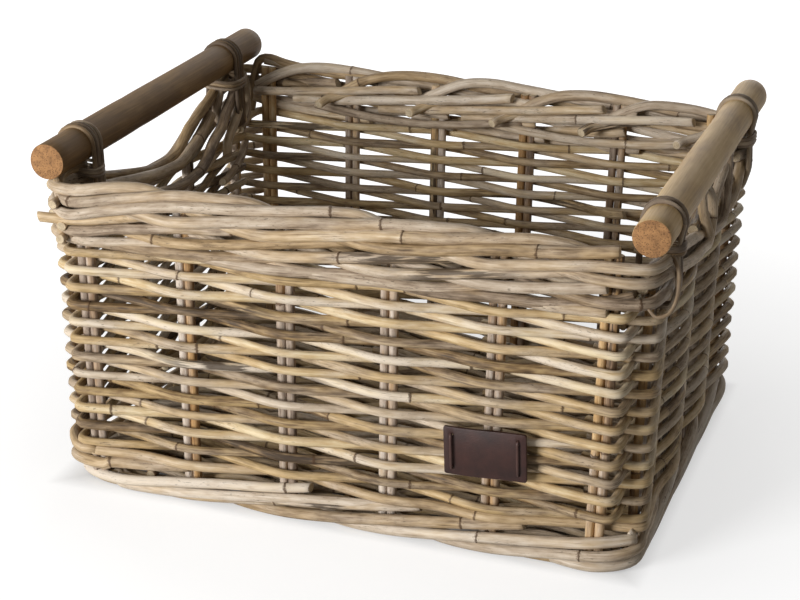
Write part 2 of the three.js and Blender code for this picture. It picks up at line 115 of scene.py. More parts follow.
walls = [(name, pairs, np.array(out, float), np.array(along, float)) for name, pairs, out, along in (
    ("front", LONG_PAIRS, (0, -1, 0), (1, 0, 0)), ("right", END_PAIRS, (1, 0, 0), (0, 1, 0)),
    ("back", LONG_PAIRS, (0, 1, 0), (-1, 0, 0)), ("left", END_PAIRS, (-1, 0, 0), (0, -1, 0)))]
stakes = [{"wall": wall, "place": i + 1, "share": 2 * i / (pairs - 1) - 1, "out": out, "along": along,
           "long": along[0] != 0} for wall, pairs, out, along in walls for i in range(pairs)]
COUNT = len(stakes)


def lean(z):
    """How far the walls stand in at a height, because the basket is wider at the top."""
    return FLARE * (RIM_TOP - z) / (RIM_TOP - FRAME_TOP)


def stake_at(stake, z):
    half_length, half_width = LINE_LENGTH / 2 - lean(z), LINE_WIDTH / 2 - lean(z)
    out = half_width if stake["long"] else half_length
    reach = half_length - LONG_INSET if stake["long"] else half_width - END_INSET
    return np.array([0, 0, z]) + out * stake["out"] + stake["share"] * reach * stake["along"]


def stand_off(diameter):
    return (STAKE + diameter) / 2 + FIT + SLACK


def beside(stake, direction, z, diameter):
    """Where a cane passes next to the pair before it turns round a corner, drawn in a little."""
    step = direction * (STAKE + diameter / 2 + 2 * FIT)
    return stake_at(stake, z) + step * stake["along"] + 0.95 * stand_off(diameter) * stake["out"]


print(COUNT, "pairs of stakes")

# %% [markdown]
# ## Colours and finishes
# The colours are written as they were read, in sRGB, and one function turns them to the linear values
# that a shader takes. One more function adds a node with its settings and its links, and short ones name the
# nodes that every material here is made of. A link knows its own tree of nodes, as `id_data`.

# %% Colour and node helpers


def linear(text):
    parts = [int(text[i:i + 2], 16) / 255 for i in (1, 3, 5)]
    return (*[p / 12.92 if p <= 0.04045 else ((p + 0.055) / 1.055) ** 2.4 for p in parts], 1.0)


def feed(node, key, value):
    """Links a socket to an input, or writes a value there."""
    if isinstance(value, bpy.types.NodeSocket):
        node.id_data.links.new(value, node.inputs[key])
    else:
        node.inputs[key].default_value = value


def add(tree, kind, inputs=None, **settings):
    new = tree.nodes.new(kind)
    for key, value in settings.items():
        setattr(new, key, value)
    for key, value in (inputs or {}).items():
        feed(new, key, value)
    return new


def own(tree, key, output="Fac"):
    return add(tree, "ShaderNodeAttribute", attribute_name=key).outputs[output]


def stretched(place, scale, shift=(0, 0, 0)):
    inputs = {"Vector": place, "Location": shift, "Scale": scale}
    return add(place.id_data, "ShaderNodeMapping", inputs).outputs["Vector"]


def noise(place, scale, detail):
    inputs = {"Vector": place, "Scale": scale, "Detail": detail}
    return add(place.id_data, "ShaderNodeTexNoise", inputs).outputs["Fac"]


def span(value, low, high, top=1, bottom=0):
    inputs = {"Value": value, "From Min": low, "From Max": high, "To Min": bottom, "To Max": top}
    return add(value.id_data, "ShaderNodeMapRange", inputs).outputs["Result"]


def maths(operation, a, b=0, c=0):
    return add(a.id_data, "ShaderNodeMath", {0: a, 1: b, 2: c}, operation=operation).outputs[0]


def around(base, pattern, amount):
    """Adds a pattern that lightens as much as it darkens."""
    return maths("ADD", base, maths("MULTIPLY_ADD", pattern, amount, -amount / 2))


def blend(factor, a, b):
    a, b = (linear(c) if isinstance(c, str) else c for c in (a, b))
    inputs = {"Factor": factor, "A": a, "B": b}
    return add(factor.id_data, "ShaderNodeMix", inputs, data_type="RGBA").outputs["Result"]


def ramp(value, stops):
    node = add(value.id_data, "ShaderNodeValToRGB", {"Fac": value})
    elements = node.color_ramp.elements
    while len(elements) < len(stops):
        elements.new(1.0)
    for element, (place, text) in zip(elements, stops):
        element.position, element.color = place, linear(text)
    return node.outputs["Color"]


def start_material(name):
    material = bpy.data.materials.new(name)
    material.use_nodes = True
    return material, material.node_tree


def dress(colour, rough, shine, height, strength, depth):
    """Gives a surface its colour, its roughness and its bumps, which are depth metres high."""
    tree = colour.id_data
    bump = add(tree, "ShaderNodeBump", {"Height": height, "Strength": strength, "Distance": depth})
    for key, value in (("Base Color", colour), ("Roughness", rough), ("Specular IOR Level", shine),
                       ("Normal", bump.outputs["Normal"])):
        feed(tree.nodes["Principled BSDF"], key, value)


print("Node helpers ready")

# %% [markdown]
# ### Weathered rattan with its bark on
# Each cane carries five things of its own: `straight`, the place of every point in the cane as it was before
# it was bent, `tone`, how light it is, `grey`, how much of the grey wash it took up, `wear`, which is 1 where
# the bark has rotted dark, and `ring`, which is 1 on a node. A pattern on `straight` follows the cane round
# every bend. The grain is streaks about a millimetre wide and many times as long, broader streaks and patches
# of some centimetres carry the wash, and the dark flecks are about a millimetre.

# %% Material: rattan bark
DIRT, NODE_DARK = "#33261a", "#4a3420"


def rattan(name, straw, washed):
    """Bark that runs between two ramps of colours: warm straw, and the grey of the wash."""
    material, tree = start_material(name)
    place = own(tree, "straight", "Vector")
    tone, grey, wear, ring = (own(tree, key) for key in ("tone", "grey", "wear", "ring"))
    drawn, short = stretched(place, (1, 1, 0.035)), stretched(place, (1, 1, 0.22))
    grain, streak = noise(drawn, 1100, 3), noise(drawn, 300, 2)
    patch, mottle, fleck = noise(short, 130, 3), noise(short, 420, 4), noise(short, 1300, 2)
    drift, chip = noise(place, 12, 2), noise(place, 750, 2)
    flake = noise(stretched(place, (1, 1, 0.09)), 480, 4)

    shade = tone
    for pattern, amount in ((drift, 0.7), (grain, 0.6), (streak, 0.6), (mottle, 0.9)):
        shade = around(shade, pattern, amount)
    taken = span(around(grey, patch, 2.4), 0.1, 0.9)
    colour = blend(taken, ramp(shade, straw), ramp(shade, washed))
    spotted = maths("MULTIPLY", span(fleck, 0.6, 0.7, 0.6), span(patch, 0.46, 0.6))
    rotten = maths("MULTIPLY", wear, span(flake, 0.43, 0.53, 0.85))
    for amount in (spotted, span(grain, 0.36, 0.28, 0.5), rotten):
        colour = blend(amount, colour, DIRT)
    ragged = around(ring, chip, 1.4)
    colour = blend(span(ragged, 0.3, 0.75, 0.85), colour, NODE_DARK)
    height = maths("MULTIPLY_ADD", streak, 1.2, maths("MULTIPLY_ADD", rotten, -0.8, grain))
    dress(colour, span(patch, 0.3, 0.7, 0.8, 0.5), 0.3, height, 0.5, 0.0004)
    return material


weaver_bark = rattan(
    "rattan_bark_weathered",
    [(0, "#443422"), (0.22, "#775f40"), (0.45, "#a0875f"), (0.65, "#b89d73"), (0.85, "#c5af88"),
     (1, "#d2c09d")],
    [(0, "#4a3c2d"), (0.25, "#7b6a57"), (0.5, "#a3917b"), (0.75, "#baa993"), (1, "#cfc1ae")])
rim_bark = rattan(
    "rattan_bark_pale",
    [(0, "#59452e"), (0.25, "#866f50"), (0.5, "#a78e6b"), (0.75, "#bda583"), (1, "#cebc9f")],
    [(0, "#544536"), (0.25, "#806e5b"), (0.5, "#a5937e"), (0.75, "#bbab97"), (1, "#cec1b0")])
stake_bark = rattan(
    "rattan_bark_stakes",
    [(0, "#553c24"), (0.3, "#87653f"), (0.55, "#a98558"), (0.8, "#bf9f72"), (1, "#d4bd94")],
    [(0, "#5d4f43"), (0.3, "#8b7a6b"), (0.6, "#ad9d8d"), (1, "#cfc3b6")])
print("Bark for weavers, rim and stakes")

# %% [markdown]
# ### Sawn and clipped ends
# Rattan has no rings like a tree. A cut end shows a pale, porous core of straight vessels, about half a
# millimetre wide here, so the colour and the bump are small round cells. The poles' ends show orange-tan, and
# their cells are twice as wide.

# %% Material: end grain


def end_grain(name, pale, deep, cell):
    material, tree = start_material(name)
    place = add(tree, "ShaderNodeTexCoord").outputs["Object"]
    pores = add(tree, "ShaderNodeTexVoronoi", {"Vector": place, "Scale": 1 / (cell * MM)}).outputs["Distance"]
    colour = blend(span(pores, 0.05, 0.45), deep, pale)
    worn = span(noise(place, 210, 4), 0.4, 0.7, 0.5)
    dress(blend(worn, colour, deep), 0.9, 0.5, pores, 0.6, 0.0006)
    return material


cane_end = end_grain("rattan_end_grain", "#cdbb9c", "#86725a", 0.55)
pole_end = end_grain("rattan_pole_end_grain", "#a0754a", "#482c17", 1.15)
print("End grain of canes and poles")

# %% [markdown]
# ## A cane
# Blender's own curve with a round bevel makes a tube, but not the ring of a node, a slanted cut, or the
# distance along the cane that the bark needs. So a cane is swept here. First a smooth line is drawn through
# the points that it passes. It doesn't overshoot where a cane turns sharply.

# %% Smooth line through points


def smooth_line(points, step):
    """A centripetal Catmull-Rom line through points, in millimetres."""
    p = np.asarray(points, float)
    q = np.vstack([2 * p[0] - p[1], p, 2 * p[-1] - p[-2]])
    made = []
    for i in range(1, len(q) - 2):
        a, b, c, d = q[i - 1:i + 3]
        u, v, w = (max(np.linalg.norm(e), 1e-6) ** 0.5 for e in (b - a, c - b, d - c))
        leave = v * ((b - a) / u - (c - a) / (u + v) + (c - b) / v)
        arrive = v * ((c - b) / v - (d - b) / (v + w) + (d - c) / w)
        t = np.linspace(0, 1, max(2, int(np.linalg.norm(c - b) / step)), endpoint=False)[:, None]
        made.append((2 * t ** 3 - 3 * t ** 2 + 1) * b + (t ** 3 - 2 * t ** 2 + t) * leave
                    + (3 * t ** 2 - 2 * t ** 3) * c + (t ** 3 - t ** 2) * arrive)
    return np.vstack([*made, q[-2][None]])


def lengths_of(line):
    return np.concatenate([[0.0], np.cumsum(np.linalg.norm(np.diff(line, axis=0), axis=1))])


print("A line drawn through three points:", len(smooth_line([(0, 0, 0), (9, 0, 0), (9, 9, 0)], 1)), "places")

# %% [markdown]
# Rings of points are then set square to the line every four millimetres, and closer on the nodes, where the
# cane swells and a dark ring shows. Every length between two nodes grew in its own year, so tone and wash
# change at a node. A node's ring isn't quite square to the cane, and a clipped end is slanted.

# %% Sweep one cane
NODE_SHAPE = ((-5.0, 0.0, 0.0), (-1.7, 0.035, 0.2), (-0.6, 0.085, 0.55), (0.0, 0.08, 1.0), (0.5, 0.03, 0.75),
              (1.2, 0.0, 0.25), (5.0, -0.015, 0.0))  # along the cane in millimetres, swelling, darkness
chance = np.random.default_rng  # the same seed draws the same numbers every time


def rings_along(length, step, nodes, rng):
    """The places of the rings with their swelling and darkness, and the places of the nodes."""
    places = [(v, 0.0, 0.0) for v in np.linspace(0, length, max(3, int(length / step)))]
    marks = []
    mark = rng.uniform(15, nodes[1]) if nodes else length
    while mark < length - 5:
        marks.append(mark)
        places = [p for p in places if abs(p[0] - mark) > 5.5]
        places += [(mark + offset, swell, dark) for offset, swell, dark in NODE_SHAPE]
        mark += rng.uniform(*nodes)
    return np.array(sorted(p for p in places if 0 <= p[0] <= length)).T, marks


def sweep(path, diameter, rng, tone=0.5, sides=10, step=4.0, nodes=(110, 300), slant=(0.0, 0.0), narrow=1.0,
          grey=0.4, worn=0.1, fine=3.0):
    """One cane along a path, in millimetres. nodes is the range of the distance between its nodes, grey the
    share of wash that such canes took up, worn the chance of a dark stretch, and narrow the share of the
    thickness that is left at the end."""
    line = smooth_line(path, fine)
    s = lengths_of(line)
    (stations, swell, ring), marks = rings_along(s[-1], step, nodes, rng)
    grown = np.searchsorted(marks, stations)
    tones = tone + rng.normal(0, 0.07, len(marks) + 1)
    greys = grey + rng.normal(0, 0.28) + rng.normal(0, 0.14, len(marks) + 1)
    wear = np.zeros(len(stations))
    if rng.random() < worn:
        wear = np.clip(1.6 - abs(stations - rng.uniform(0, s[-1])) / rng.uniform(25, 90), 0, 1)
    centre = np.stack([np.interp(stations, s, line[:, k]) for k in range(3)], axis=1)
    heading = np.gradient(centre, axis=0)
    heading /= np.linalg.norm(heading, axis=1)[:, None] + 1e-12
    normal = np.zeros_like(centre)
    guess = np.array((0.0, 0.0, 1.0) if abs(heading[0, 2]) <= 0.9 else (1.0, 0.0, 0.0))
    for i, t in enumerate(heading):
        guess = guess - (guess @ t) * t
        guess /= np.linalg.norm(guess) + 1e-12
        normal[i] = guess
    binormal = np.cross(heading, normal)
    phase = rng.uniform(0, 6.28, 3)
    waver = 0.025 * (np.sin(stations / 37 + phase[0]) + np.sin(stations / 91 + phase[1]))
    radius = diameter / 2 * (1 + waver + swell) * (1 + (narrow - 1) * stations / s[-1])
    angle = np.arange(sides) / sides * 2 * np.pi
    x, y = radius[:, None] * np.cos(angle), radius[:, None] * np.sin(angle)
    points = centre[:, None] + x[:, :, None] * normal[:, None] + y[:, :, None] * binormal[:, None]
    for k in np.flatnonzero(ring):
        askew = 0.4 * np.cos(angle + phase[2] + grown[k]) + rng.normal(0, 0.08, sides)
        points[k] += askew[:, None] * heading[k]
    for end, amount in ((0, -slant[0]), (-1, slant[1])):
        points[end] += amount * np.cos(angle + phase[2])[:, None] * heading[end]
    caps = [points[end] + sign * 0.35 * heading[end] + 0.14 * (centre[end] - points[end])
            for end, sign in ((0, -1), (-1, 1))]
    rings = np.stack([caps[0], *points, caps[1]])
    z = np.repeat(stations[:, None] + 1000 * rng.uniform(0, 40), sides, 1)
    straight = np.pad(np.stack([x, y, z], axis=2), ((1, 1), (0, 0), (0, 0)), mode="edge") * MM
    grid = np.arange(len(rings) * sides).reshape(-1, sides)
    a, b = grid[:-1], grid[1:]
    quads = np.stack([a, np.roll(a, -1, 1), np.roll(b, -1, 1), b], axis=2).reshape(-1, 4)
    cane = {"verts": rings.reshape(-1, 3), "quads": quads, "caps": [grid[0][::-1], grid[-1]],
            "straight": straight.reshape(-1, 3)}
    for key, values in (("tone", tones[grown]), ("grey", greys[grown]), ("wear", wear), ("ring", ring)):
        cane[key] = np.repeat(np.pad(values, 1, mode="edge"), sides)
    return cane


print("A cane has nodes every 11 to 30 cm")

# %% [markdown]
# Canes that belong together become one mesh, which keeps the file quick to draw. The bark lies on the round
# faces, which are shaded smooth, and the end grain on the two caps of every cane.

# %% Many canes in one piece


def make_piece(name, canes, bark, node=None, end=cane_end):
    """One piece of many canes, as one mesh whose place is in its points."""
    faces, ends, start = [], [], 0
    for cane in canes:
        faces += (cane["quads"] + start).tolist()
        ends += [(cap + start).tolist() for cap in cane["caps"]]
        start += len(cane["verts"])
    mesh = bpy.data.meshes.new(name)
    places = (np.vstack([cane["verts"] for cane in canes]) + SHIFT) * MM
    mesh.from_pydata(places.tolist(), [], faces + ends)
    for key in ("tone", "grey", "wear", "ring", "straight"):
        kind, field = ("FLOAT_VECTOR", "vector") if key == "straight" else ("FLOAT", "value")
        values = np.concatenate([cane[key] for cane in canes]).astype(np.float32)
        mesh.attributes.new(key, kind, "POINT").data.foreach_set(field, values.ravel())
    is_end = np.arange(len(faces) + len(ends)) >= len(faces)
    mesh.polygons.foreach_set("use_smooth", ~is_end)
    mesh.materials.append(bark)
    mesh.materials.append(end)
    mesh.polygons.foreach_set("material_index", is_end.astype(np.int32))
    mesh.update()
    piece = bpy.data.objects.new(name, mesh)
    scene.collection.objects.link(piece)
    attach(piece, "root")
    if node:
        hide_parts(node)
    return piece


print("A piece of canes carries its place in its points")

# %% [markdown]
# ## The stakes
# Two canes stand side by side at every place, from the foot of the wall into the rim. A maker pushes them in
# by hand, so no two are quite alike: each has its own thickness, colour and a slight bow. At the ends of the
# basket they stop under the canes that run through the dip.

# %% Stakes
PAIR_HALF, FOOT_Z = 0.48 * STAKE, FRAME_TOP + FIT


def bundle_height(j, y):
    """How high rim cane j runs at y over an end: level at the corners, and down on the weaving in the dip."""
    run = (y + DIP_END) / (DIP_CENTRE + DIP_END) if y < DIP_CENTRE else (DIP_END - y) / (DIP_END - DIP_CENTRE)
    share = math.sin(min(max(run, 0.0), 1.0) * math.pi / 2)
    return (WEAVE_TOP + FIT / 2 + (j + 0.5) * RIM_PITCH) * (1 - share) + (END_TOP + FIT + RIM / 2) * share


for n, stake in enumerate(stakes):
    rng = chance(100 + n)
    y = stake_at(stake, END_TOP)[1]
    head_z = RIM_TOP - 2.0
    if not stake["long"]:
        head_z = min(bundle_height(2, y - STAKE), bundle_height(2, y + STAKE)) - RIM / 2 - 2 * FIT
    canes = []
    for hand in (-1, 1):
        bow = rng.uniform(-0.5, 0.5, 2)
        points = []
        for share in np.linspace(0, 1, 5):
            points.append(stake_at(stake, FOOT_Z + (head_z - FOOT_Z) * share)
                          + hand * PAIR_HALF * stake["along"] + math.sin(share * math.pi)
                          * (bow[0] * stake["along"] * 0.3 + bow[1] * stake["out"]))
        canes.append(sweep(points, STAKE * rng.uniform(0.92, 1.02), rng,
                           tone=rng.uniform(0.3, 0.9), grey=rng.choice((0.1, 0.9))))
    name = f"{stake['wall']}_{stake['place']}"
    make_piece(f"stakes_{name}", canes, stake_bark, node=f"stake_pair_{name}")
print("Stakes:", 2 * COUNT, "canes")

# %% [markdown]
# ## The weaving
# Every round of the weave passes outside one pair and inside the next, and the round above it does the
# opposite. Where two pairs are far apart the canes lie on one another, and beside a pair they part and leave
# a small opening. A cane is only a metre long or so. It ends inside, behind a pair, and the next one starts
# there, so the ends show on the inner face.

# %% In and out of the stakes
TONES = (0.22, 0.38, 0.48, 0.56, 0.62, 0.68, 0.74, 0.82, 0.9)


def woven(run, sides, levels, diameter, rng):
    """The points of a cane in and out of a run of stakes, and which of them are at a stake."""
    points, marks = [], []
    for n, stake in enumerate(run):
        z = levels[n] + rng.normal(0, 0.22)
        marks.append(len(points))
        points.append(stake_at(stake, z) + sides[n] * stand_off(diameter) * stake["out"])
        if n == len(run) - 1:
            break
        after = run[n + 1]
        z = (levels[n] + levels[n + 1]) / 2 + rng.normal(0, 0.15)
        if stake["wall"] == after["wall"]:
            bulge = 0.3 * stand_off(diameter) * (sides[n] + sides[n + 1])
            points.append((stake_at(stake, z) + stake_at(after, z)) / 2 + bulge * stake["out"])
            continue
        if sides[n] > 0:
            points.append(beside(stake, 1, z, diameter))
        if sides[n + 1] > 0:
            points.append(beside(after, -1, z, diameter))
    return points, marks


def splice(points, marks, sides, run, rng, every):
    """Cuts a long way into canes. Each ends inside a pair, and the next starts a cane's width further in."""
    last = len(run) - 1
    cuts = [0]
    for n in range(1, last):
        if sides[n] < 0 and n - cuts[-1] >= rng.integers(*every) and n < last - 3:
            cuts.append(n)
    parts = []
    for n, end in zip(cuts, cuts[1:] + [last]):
        part = [np.array(p) for p in points[marks[n]:marks[end] + 1]]
        if n > 0:
            out, along = run[n]["out"], run[n]["along"]
            part[0] = part[0] - 0.85 * WEAVER * out
            part = [part[0] - (10 + 6 * rng.random()) * along - 2.0 * out + [0, 0, 1.0]] + part
        if end < last:
            out, along = run[end]["out"], run[end]["along"]
            part.append(part[-1] + (9 + 5 * rng.random()) * along - 0.6 * out)
        parts.append(part)
    return parts


print("The canes of a row start and end inside")

# %% [markdown]
# A row is two rounds high. Each round starts at a back corner and ends a step above or below its start,
# because the canes go on in a spiral. The top row lies on the long walls only, and its two strands run a
# little past the last pair.

# %% Weaving canes
seam = next(i for i, stake in enumerate(stakes) if stake["wall"] == "left")
run = stakes[seam:] + stakes[:seam + 1]
total = 0
for row in range(FULL_ROWS):
    rng = chance(500 + row)
    canes = []
    for turn in (0, 1):
        z = WEAVE_BOTTOM + (row + 0.5) * ROW_PITCH + (turn - 0.5) * ROW_PITCH / 2
        sides = [1 if (n + n // COUNT + seam + turn) % 2 == 0 else -1 for n in range(COUNT + 1)]
        levels = [z + n // COUNT * (0.5 - turn) * ROW_PITCH for n in range(COUNT + 1)]
        points, marks = woven(run, sides, levels, WEAVER, rng)
        for part in splice(points, marks, sides, run, rng, (6, 13)):
            canes.append(sweep(part, WEAVER * rng.uniform(0.98, 1.2), rng, worn=0.3,
                               tone=float(rng.choice(TONES)) + rng.normal(0, 0.04), slant=(1.5, 1.5)))
    total += len(canes)
    make_piece(f"weaving_{row + 1:02d}", canes, weaver_bark,
               node=f"weave_row_{row + 1:02d}")

for wall in ("front", "back"):
    rng = chance(540 + len(wall))
    first = next(i for i, stake in enumerate(stakes) if stake["wall"] == wall)
    run = [stakes[(first + n) % COUNT] for n in range(-1, LONG_PAIRS + 1)]
    middle = END_TOP + ROW_PITCH / 2
    canes = []
    for turn in (0, 1):
        z = middle + (turn - 0.5) * ROW_PITCH / 2
        sides = [1 if (n + turn) % 2 == 1 else -1 for n in range(len(run))]
        points, marks = woven(run, sides, [z] * len(run), WEAVER, rng)
        if turn == 1:
            points[0][2] = middle - FIT
            points[1][2] -= 2 * FIT
        points = [points[0] - 11 * run[0]["along"], *points, points[-1] + 11 * run[-1]["along"]]
        canes.append(sweep(points, WEAVER * rng.uniform(1.0, 1.12), rng,
                           tone=float(rng.choice(TONES)), slant=(1.5, 1.5)))
    total += len(canes)
    make_piece(f"weaving_12_{wall}", canes, weaver_bark, node=f"weave_row_12_{wall}")
print("Weaving:", total, "canes")

# %% [markdown]
# ## Border canes
# The borders at the top and at the foot are made of canes that all follow the same path, one after another
# round the basket, a stake apart. A path is written once, as points: how far along the wall, how high, and
# how far outside the stakes. Each cane comes out from behind the one before it, sags under it, and climbs
# slowly to the right over two stakes. Two functions turn such numbers into places, one for a wall and one
# for the whole way round the basket, where the canes turn the corners.

# %% Places along a wall and round the basket
HALF_X, HALF_Y = LINE_LENGTH / 2, LINE_WIDTH / 2
GAP = (LINE_LENGTH - 2 * LONG_INSET) / (LONG_PAIRS - 1)
ROUND = 4 * (HALF_X + HALF_Y)
MIDDLE_OF = {"front": HALF_X, "right": 2 * HALF_X + HALF_Y, "back": 3 * HALF_X + 2 * HALF_Y,
             "left": 4 * HALF_X + 3 * HALF_Y}  # the middle of each wall on the way round
CORNER = 9.0  # radius of a cane's turn at a corner, measured on the stake line


def on_wall(wall, u, z, out):
    """A place along a wall, seen from outside with u to the right, in millimetres."""
    stake = next(s for s in stakes if s["wall"] == wall)
    half = (LINE_WIDTH if stake["long"] else LINE_LENGTH) / 2 - lean(z)
    return np.array([0, 0, z]) + (half + out) * stake["out"] + u * stake["along"]


def all_round(length, z, out, corner=CORNER):
    """A place on the way round the basket, which goes from the front left corner to the right."""
    half_x, half_y = HALF_X - lean(z), HALF_Y - lean(z)
    length = length % (4 * (half_x + half_y))
    for _, _, outward, along in walls:
        along_half, out_half = (half_x, half_y) if along[0] else (half_y, half_x)
        if length <= 2 * along_half:
            break
        length -= 2 * along_half
    u = length - along_half
    near = abs(u) - (along_half - corner)
    if near < 0:
        return along * u + outward * (out_half + out) + [0, 0, z]
    angle = math.copysign(min(near / corner, 1.0) * math.pi / 4, u)
    centre, reach = math.copysign(along_half - corner, u), corner + out
    return (along * (centre + reach * math.sin(angle))
            + outward * (out_half - corner + reach * math.cos(angle)) + [0, 0, z])


print(f"The stakes of a long wall stand {GAP:.0f} mm apart, and the way round is {ROUND:.0f} mm")

# %% [markdown]
# A cane of a long wall often starts on the wall before it. Then it comes round the corner, where the canes
# press on each other, and the upper ones are pulled down and outwards. One cane isn't led round. It is
# clipped and pokes out beyond the corner.

# %% One border cane of a long wall
AROUND = 46.0  # how far back a cane that comes round the corner is drawn
POKES, PAST = 11.0, 14.0  # how far a clipped cane pokes out, and how far a path may pass the end of its wall


def lay(wall, start, path, rng, limit, wobble, lift, poke=False):
    """The points of one border cane, between the limits on its wall. wobble makes it uneven."""
    points = []
    for u, z, out in path:
        place = start + u
        if place < limit[0] - (POKES if poke else AROUND) or place > limit[1] + PAST:
            continue
        first = not points and u > path[0][0]
        pulled = min(max((z - 196) / 12, 0), 1) * max(1 - abs(place - limit[0]) / 70, 0)
        z, out = z - 5.0 * pulled, out + 2.5 * pulled
        if poke and first:
            points.append(on_wall(wall, limit[0] - POKES, z - 2, out))
            first = False
        place = min(place, limit[1])
        z, out = z + lift + rng.normal(0, wobble), out + rng.normal(0, 0.4 * wobble)
        if place < limit[0] and not poke:
            p = all_round(MIDDLE_OF[wall] + place, z - 1.5, out)
            if not points:
                points.append(all_round(MIDDLE_OF[wall] + place - 18, z - 3.0, out - 5.0))
        else:
            p = on_wall(wall, place, z, out)
            if first:
                points.append(all_round(MIDDLE_OF[wall] - HALF_X - 26, z - 2.0, out - 1.0))
                points.append(all_round(MIDDLE_OF[wall] - HALF_X, z, out))
        if not points or np.linalg.norm(p - points[-1]) > 6:
            points.append(p)
    return points


print("Border canes can be laid")

# %% [markdown]
# ## The foot of the walls
# Below the weaving the border is rolled tightly under the base, so its lower edge runs in shallow waves.
# Thick cane can't turn sharply, so the lowest canes cut the corners in a wide bend, and the rest turn closer.
# One thick cane more goes round above them, in and out, and holds the stakes apart, and another one lies
# under the floor as its frame.

# %% Foot border
FOOT_PATH = ((-34, 7.5, -9), (-12, 4.8, -3), (6, 4, 3), (36, 4.3, 6), (75, 9, 7.6), (118, 14.6, 8.2),
             (150, 18.6, 7.8), (182, 22, 6), (205, 24, 1.5))
FOOT_CORNERS = (15.0, 30.0, 30.0, 38.0)  # the bend of the lowest canes, narrowest at the front right
CORNER_PLACES = (2 * HALF_X, 2 * HALF_X + 2 * HALF_Y, 4 * HALF_X + 2 * HALF_Y, ROUND)
LIES_AT, FOOT_CANE, RING_CANE, END_STRETCH = 4.6, 7.5, 8.4, 1.1
UPSETT_Z = FRAME_TOP + FIT + 2.5 * UPSETT + 2 * FIT + 0.8


def past_corner(place, k):
    """How far a place on the way round lies past a corner."""
    return (place - CORNER_PLACES[k] + ROUND / 2) % ROUND - ROUND / 2


stake_lengths = []
for stake in stakes:
    reach = HALF_X - LONG_INSET if stake["long"] else HALF_Y - END_INSET
    stake_lengths.append(MIDDLE_OF[stake["wall"]] + stake["share"] * reach)
rows_of_border = [[], []]
rng = chance(700)
for n in range(COUNT):
    gap = (stake_lengths[(n + 1) % COUNT] - stake_lengths[n]) % ROUND
    points = []
    for u, z, out in FOOT_PATH:
        place = stake_lengths[n] + 0.44 * gap + u * (1.0 if stakes[n]["long"] else END_STRETCH)
        nearest = min(range(4), key=lambda k: abs(past_corner(place, k)))
        bend = CORNER + (FOOT_CORNERS[nearest] - CORNER) * min(max((22 - z) / 14, 0), 1)
        z = max(z + rng.normal(0, 0.35), LIES_AT)
        points.append(all_round(place, z, out + rng.normal(0, 0.25), bend))
        for k in range(4):
            if -34 < past_corner(place, k) < 0:
                points.append(all_round(CORNER_PLACES[k], z + 1.5, out, bend))
    rows_of_border[n % 2].append(sweep(points, FOOT_CANE * rng.uniform(0.92, 1.06), rng, grey=0.75,
                                       tone=rng.uniform(0.45, 1.05), nodes=(120, 320), slant=(1.5, 1.5)))
for row, canes in enumerate(rows_of_border):
    make_piece(f"border_foot_{row + 1}", canes, rim_bark, node=f"upsett_row_{row + 1}")

rng = chance(702)
run = stakes + stakes[:1]
sides = [-1 if n % COUNT % 3 == 2 else 1 for n in range(COUNT + 1)]
points, marks = woven(run, sides, [UPSETT_Z] * (COUNT + 1), UPSETT, rng)
canes = [sweep(part, UPSETT * rng.uniform(0.94, 1.03), rng, tone=rng.uniform(0.4, 0.95),
               slant=(1.5, 1.5)) for part in splice(points, marks, sides, run, rng, (4, 9))]
make_piece("upsett_cane", canes, rim_bark, node="upsett_row_3")

rng = chance(720)
points = []
for wall, half in (("front", HALF_X), ("right", HALF_Y), ("back", HALF_X), ("left", HALF_Y)):
    points += [on_wall(wall, u * (half - 24), LIES_AT, -1.5) for u in (-1, -1 / 3, 1 / 3, 1)]
ring = sweep(points + points[:2], RING_CANE, rng)
make_piece("base_ring", [ring], rim_bark, node="base_frame")
print("Foot border:", COUNT, "canes, and two more round the basket")

# %% [markdown]
# ## The floor
# Five sticks run from front to back. Thinner canes are woven over and under them, row beside row, and turn
# at both sides. Each cane fills seven rows, and then the next one goes on.

# %% Base mat
FLOOR_X, FLOOR_Y = HALF_X - FLARE, HALF_Y - FLARE
STICK, MAT_CANE, PACKED_CANE, STICKS = 7.0, 5.4, 5.6, 5
SIX_FLAT = math.cos(math.pi / 6)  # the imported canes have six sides, and lie on their flats
MAT_RISE = (STICK + PACKED_CANE) / 2 * SIX_FLAT + 2 * FIT
STICK_Z = PACKED_CANE / 2 * SIX_FLAT + FIT + MAT_RISE
STICK_PITCH = 2 * (FLOOR_X - LONG_INSET) / STICKS
MAT_X, MAT_Y, MAT_ROWS, ROWS_PER_CANE = FLOOR_X - 6.4, FLOOR_Y - 6.4, 46, 7
for i in range(STICKS):
    rng = chance(740 + i)
    x, reach = (i - 2) * STICK_PITCH, FLOOR_Y - 4.8
    stick = sweep([(x, y, STICK_Z) for y in (-reach, 0, reach)], STICK, rng, tone=rng.uniform(0.3, 0.7))
    make_piece(f"base_stick_cane_{i + 1}", [stick], stake_bark, node=f"base_stick_{i + 1}")
rng = chance(750)
canes, points = [], []
